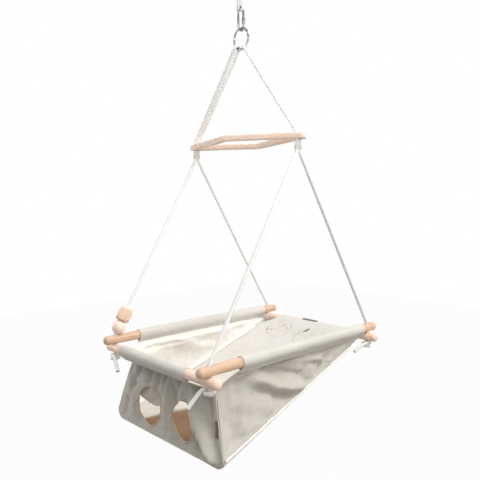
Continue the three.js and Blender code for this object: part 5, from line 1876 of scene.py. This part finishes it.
def head_label():
    """A strip that lies where the sheet goes over the head rod, bent with it."""
    along, turn = np.meshgrid(np.linspace(-33, 33, 29), np.radians(np.linspace(-3, 30, 9)), indexing="ij")
    radius = ROD / 2 + CLOTH + 1.9
    grid = HEAD_AXIS - radius * (np.cos(turn)[..., None] * UNDER + np.sin(turn)[..., None] * FOOTWARD)
    grid[..., 1] = 12 + along
    label = small_sheet("head_label", "head_tag", grid, 1.0, brown_satin)


hang_flap()
side_label()
head_label()


# %% [markdown]
# ## Print and stitching
# Near the head the base carries a small scattered print. It is drawn as thin shapes that lie on the cloth,
# so it is crisp from close by: stems, leaves and dots of a plain botanical kind. All seams are top-stitched.
# A stitch is one small bead of thread repeated along a path, so Geometry Nodes place them: the path is cut
# at an even spacing and each cut gets a stitch turned along it.

# %% Shapes of the print
MIDDLE = 36                     # the middle column of the neck's grid


def on_base(x, y, lift):
    """Places on top of the base sheet: on the floor, and past it on the part that narrows to the sleeve."""
    places = []
    for px, py in zip(x, y):
        if px < BAG_HEAD_X:
            half = BAG_FOOT_HALF + (BAG_HEAD_HALF - BAG_FOOT_HALF) * along_bag(px)
            place = base_points(base_share(px), py / half)
        else:
            reach = neck_grid[:, MIDDLE, 0]
            lower = max(1, int(np.argmin(np.abs(reach - px)))) - 1
            share = (px - reach[lower]) / (reach[lower + 1] - reach[lower])
            line = neck_grid[lower] * (1 - share) + neck_grid[lower + 1] * share
            place = np.array([px, py, np.interp(py, line[:, 1], line[:, 2])])
        places.append(place + (0, 0, CLOTH / 2 / math.cos(SLOPE) + lift))
    return places


def motif_outline(kind, size):
    """The outline of a dot, a stem or a leaf that lies along X."""
    if kind == "dot":
        angles = np.linspace(0, 2 * math.pi, 17)[:-1]
        return np.stack([size * np.cos(angles), size * np.sin(angles)], axis=1)
    if kind == "stem":
        along = np.linspace(0, 1, 15)
        spine, half = size / 7 * np.sin(math.pi * along * 1.4), 0.75
    else:
        along = np.linspace(0, 1, 13)
        spine, half = size / 14 * np.sin(math.pi * along), size / 4.8 * np.sin(math.pi * along ** 0.8)
    upper = np.stack([along * size, spine + half], axis=1)
    return np.vstack([upper, np.stack([along * size, spine - half], axis=1)[::-1]])


print("a leaf has", len(motif_outline("leaf", 18)), "corners")


# %% Scattered print
# Each motif: its kind, its place on the base in millimetres, its turn in degrees, its size and its ink
SPRIGS = (("stem", 236, 118, 60, 58, "brown"), ("leaf", 262, 128, 100, 18, "pink"),
          ("leaf", 248, 150, 20, 15, "brown"), ("stem", 300, 74, 200, 50, "brown"),
          ("leaf", 296, 92, 140, 20, "pink"), ("leaf", 276, 70, 60, 16, "pink"),
          ("dot", 250, 60, 0, 3, "pink"), ("stem", 222, -8, 25, 66, "brown"),
          ("leaf", 296, -22, 130, 30, "olive"), ("stem", 276, -78, 100, 40, "olive"),
          ("leaf", 250, -60, 60, 18, "pink"), ("dot", 226, -36, 0, 3, "brown"))
INKS = {"brown": "#a8907b", "pink": "#dcbcae", "olive": "#8f8f6d"}


def print_sprigs(ink):
    """All motifs of one ink as one thin piece on the cloth, every face looking up."""
    points, faces = [], []
    for kind, x, y, turn, size, tone in SPRIGS:
        if tone != ink:
            continue
        outline = motif_outline(kind, size)
        cosine, sine = math.cos(math.radians(turn)), math.sin(math.radians(turn))
        flat_x = x + outline[:, 0] * cosine - outline[:, 1] * sine
        flat_y = y + outline[:, 0] * sine + outline[:, 1] * cosine
        start, count = len(points), len(outline)
        points += on_base(flat_x, flat_y, 0.12)
        if kind == "dot":
            faces.append(tuple(range(start, start + count)))
        else:
            faces += [(start + k, start + k + 1, start + count - 2 - k, start + count - 1 - k)
                      for k in range(count // 2 - 1)]
    motif = add_mesh("print_" + ink, points, faces)
    upward = bmesh.new()
    upward.from_mesh(motif.data)
    for face in upward.faces:
        if face.normal.z < 0:
            face.normal_flip()
    upward.to_mesh(motif.data)
    upward.free()
    motif.data.materials.append(plain_fibre(ink + " textile ink", INKS[ink], INKS[ink], 0.9, 0.05, 900.0))
    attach(motif, "cradle")
    print(ink, "ink:", len(faces), "faces")


for ink in INKS:
    print_sprigs(ink)


# %% Rows of stitches
def stitch_nodes():
    """Beads of thread laid end to end along a path, with spacing, length, gauge and thread as inputs."""
    tree, sockets, given = new_node_tree("row of stitches", (
        ("Path", "Geometry", None), ("Spacing", "Float", 0.006), ("Length", "Float", 0.004),
        ("Gauge", "Float", 0.001), ("Thread", "Material", None)))
    curve = add_node(tree, "GeometryNodeMeshToCurve", {"Mesh": given["Path"]})
    cuts = add_node(tree, "GeometryNodeCurveToPoints",
                    {"Curve": curve, "Length": given["Spacing"]}, mode="LENGTH")
    bead = add_node(tree, "GeometryNodeMeshUVSphere", {"Segments": 6, "Rings": 4, "Radius": 0.5})
    size = add_node(tree, "CombineXYZ",
                    {"X": given["Gauge"], "Y": given["Gauge"], "Z": given["Length"]})
    row = add_node(tree, "GeometryNodeInstanceOnPoints",
                   {"Points": cuts.outputs["Points"], "Instance": bead.outputs["Mesh"],
                    "Rotation": cuts.outputs["Rotation"], "Scale": size})
    real = add_node(tree, "GeometryNodeRealizeInstances", {"Geometry": row})
    sewn = add_node(tree, "GeometryNodeSetMaterial", {"Geometry": real, "Material": given["Thread"]})
    add_node(tree, "NodeGroupOutput", {"Geometry": sewn})
    return tree, sockets


stitch_tree, stitch_sockets = stitch_nodes()


def sew(name, paths, spacing=5.5, length=4.0, gauge=1.0):
    """One piece of stitching along several paths."""
    points, edges = [], []
    for path in paths:
        start = len(points)
        points += list(path)
        edges += [(start + k, start + k + 1) for k in range(len(path) - 1)]
    mesh = bpy.data.meshes.new(name)
    mesh.from_pydata((np.array(points) * MM).tolist(), edges, [])
    row = bpy.data.objects.new(name, mesh)
    scene.collection.objects.link(row)
    grow(row, stitch_tree, stitch_sockets,
         {"Spacing": spacing * MM, "Length": length * MM, "Gauge": gauge * MM, "Thread": stitch_thread})
    row.data.polygons.foreach_set("use_smooth", [True] * len(row.data.polygons))
    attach(row, "cradle")
    print(name, len(row.data.polygons), "faces")


# %% Stitching of the side panels
OUTSIDE = CLOTH / 2 + 0.2       # from the middle of the cloth to a thread that lies on it


def along_row(grid, row, lift):
    """A row of a panel's grid, lifted off the cloth along the sheet's own normal."""
    along = unit(np.gradient(grid[row], axis=0))
    down = unit(grid[row + 1] - grid[row - 1])
    return grid[row] + unit(np.cross(along, down)) * lift


def down_column(grid, share, lift):
    """A line down a side panel, beside its foot seam."""
    column = int(round(share * (grid.shape[1] - 1)))
    rows = slice(len(grid) - 44, len(grid) - 8)
    along = unit(grid[rows, column + 1] - grid[rows, column - 1])
    down = unit(np.gradient(grid[rows, column], axis=0))
    return grid[rows, column] + unit(np.cross(along, down)) * lift


for side_name, grid, row in (("near", near_grid, near_start + 1), ("far", far_grid, far_start + 1)):
    sew(side_name + "_sleeve_stitching", [along_row(grid, row, lift) for lift in (OUTSIDE, -OUTSIDE)])
sew("corner_seam_stitching", [down_column(near_grid, 0.985, OUTSIDE), down_column(far_grid, 0.015, -OUTSIDE),
                              down_column(near_grid, 0.985, -OUTSIDE), down_column(far_grid, 0.015, OUTSIDE)])


# %% Stitching of the rims, the leg holes and the foot sleeve
def rim_line(side):
    """A line along the outside of the base's rim, a few millimetres under its top."""
    share = np.linspace(0.005, 0.995, 200)
    return base_points(share, np.full_like(share, side * 0.995)) + (0, side * (CLOTH / 2 + 0.4), 0)


def hole_row(hole):
    """A closed line round a leg hole, a little outside its binding."""
    y, z = leg_hole(hole, -3.5, 120)
    return on_foot(np.append(y, y[:1]), np.append(z, z[:1]), OUTSIDE)[0]


sew("rim_stitching", [rim_line(NEAR), rim_line(FAR)])
sew("leg_hole_stitching", [hole_row(NEAR_HOLE), hole_row(FAR_HOLE)], 4.5, 3.2, 0.9)
across = np.linspace(0.01, 0.99, 160)
sew("foot_sleeve_stitching", [foot_points(across, np.full_like(across, 0.055)) - (CLOTH / 2 + 0.3, 0, 0)])
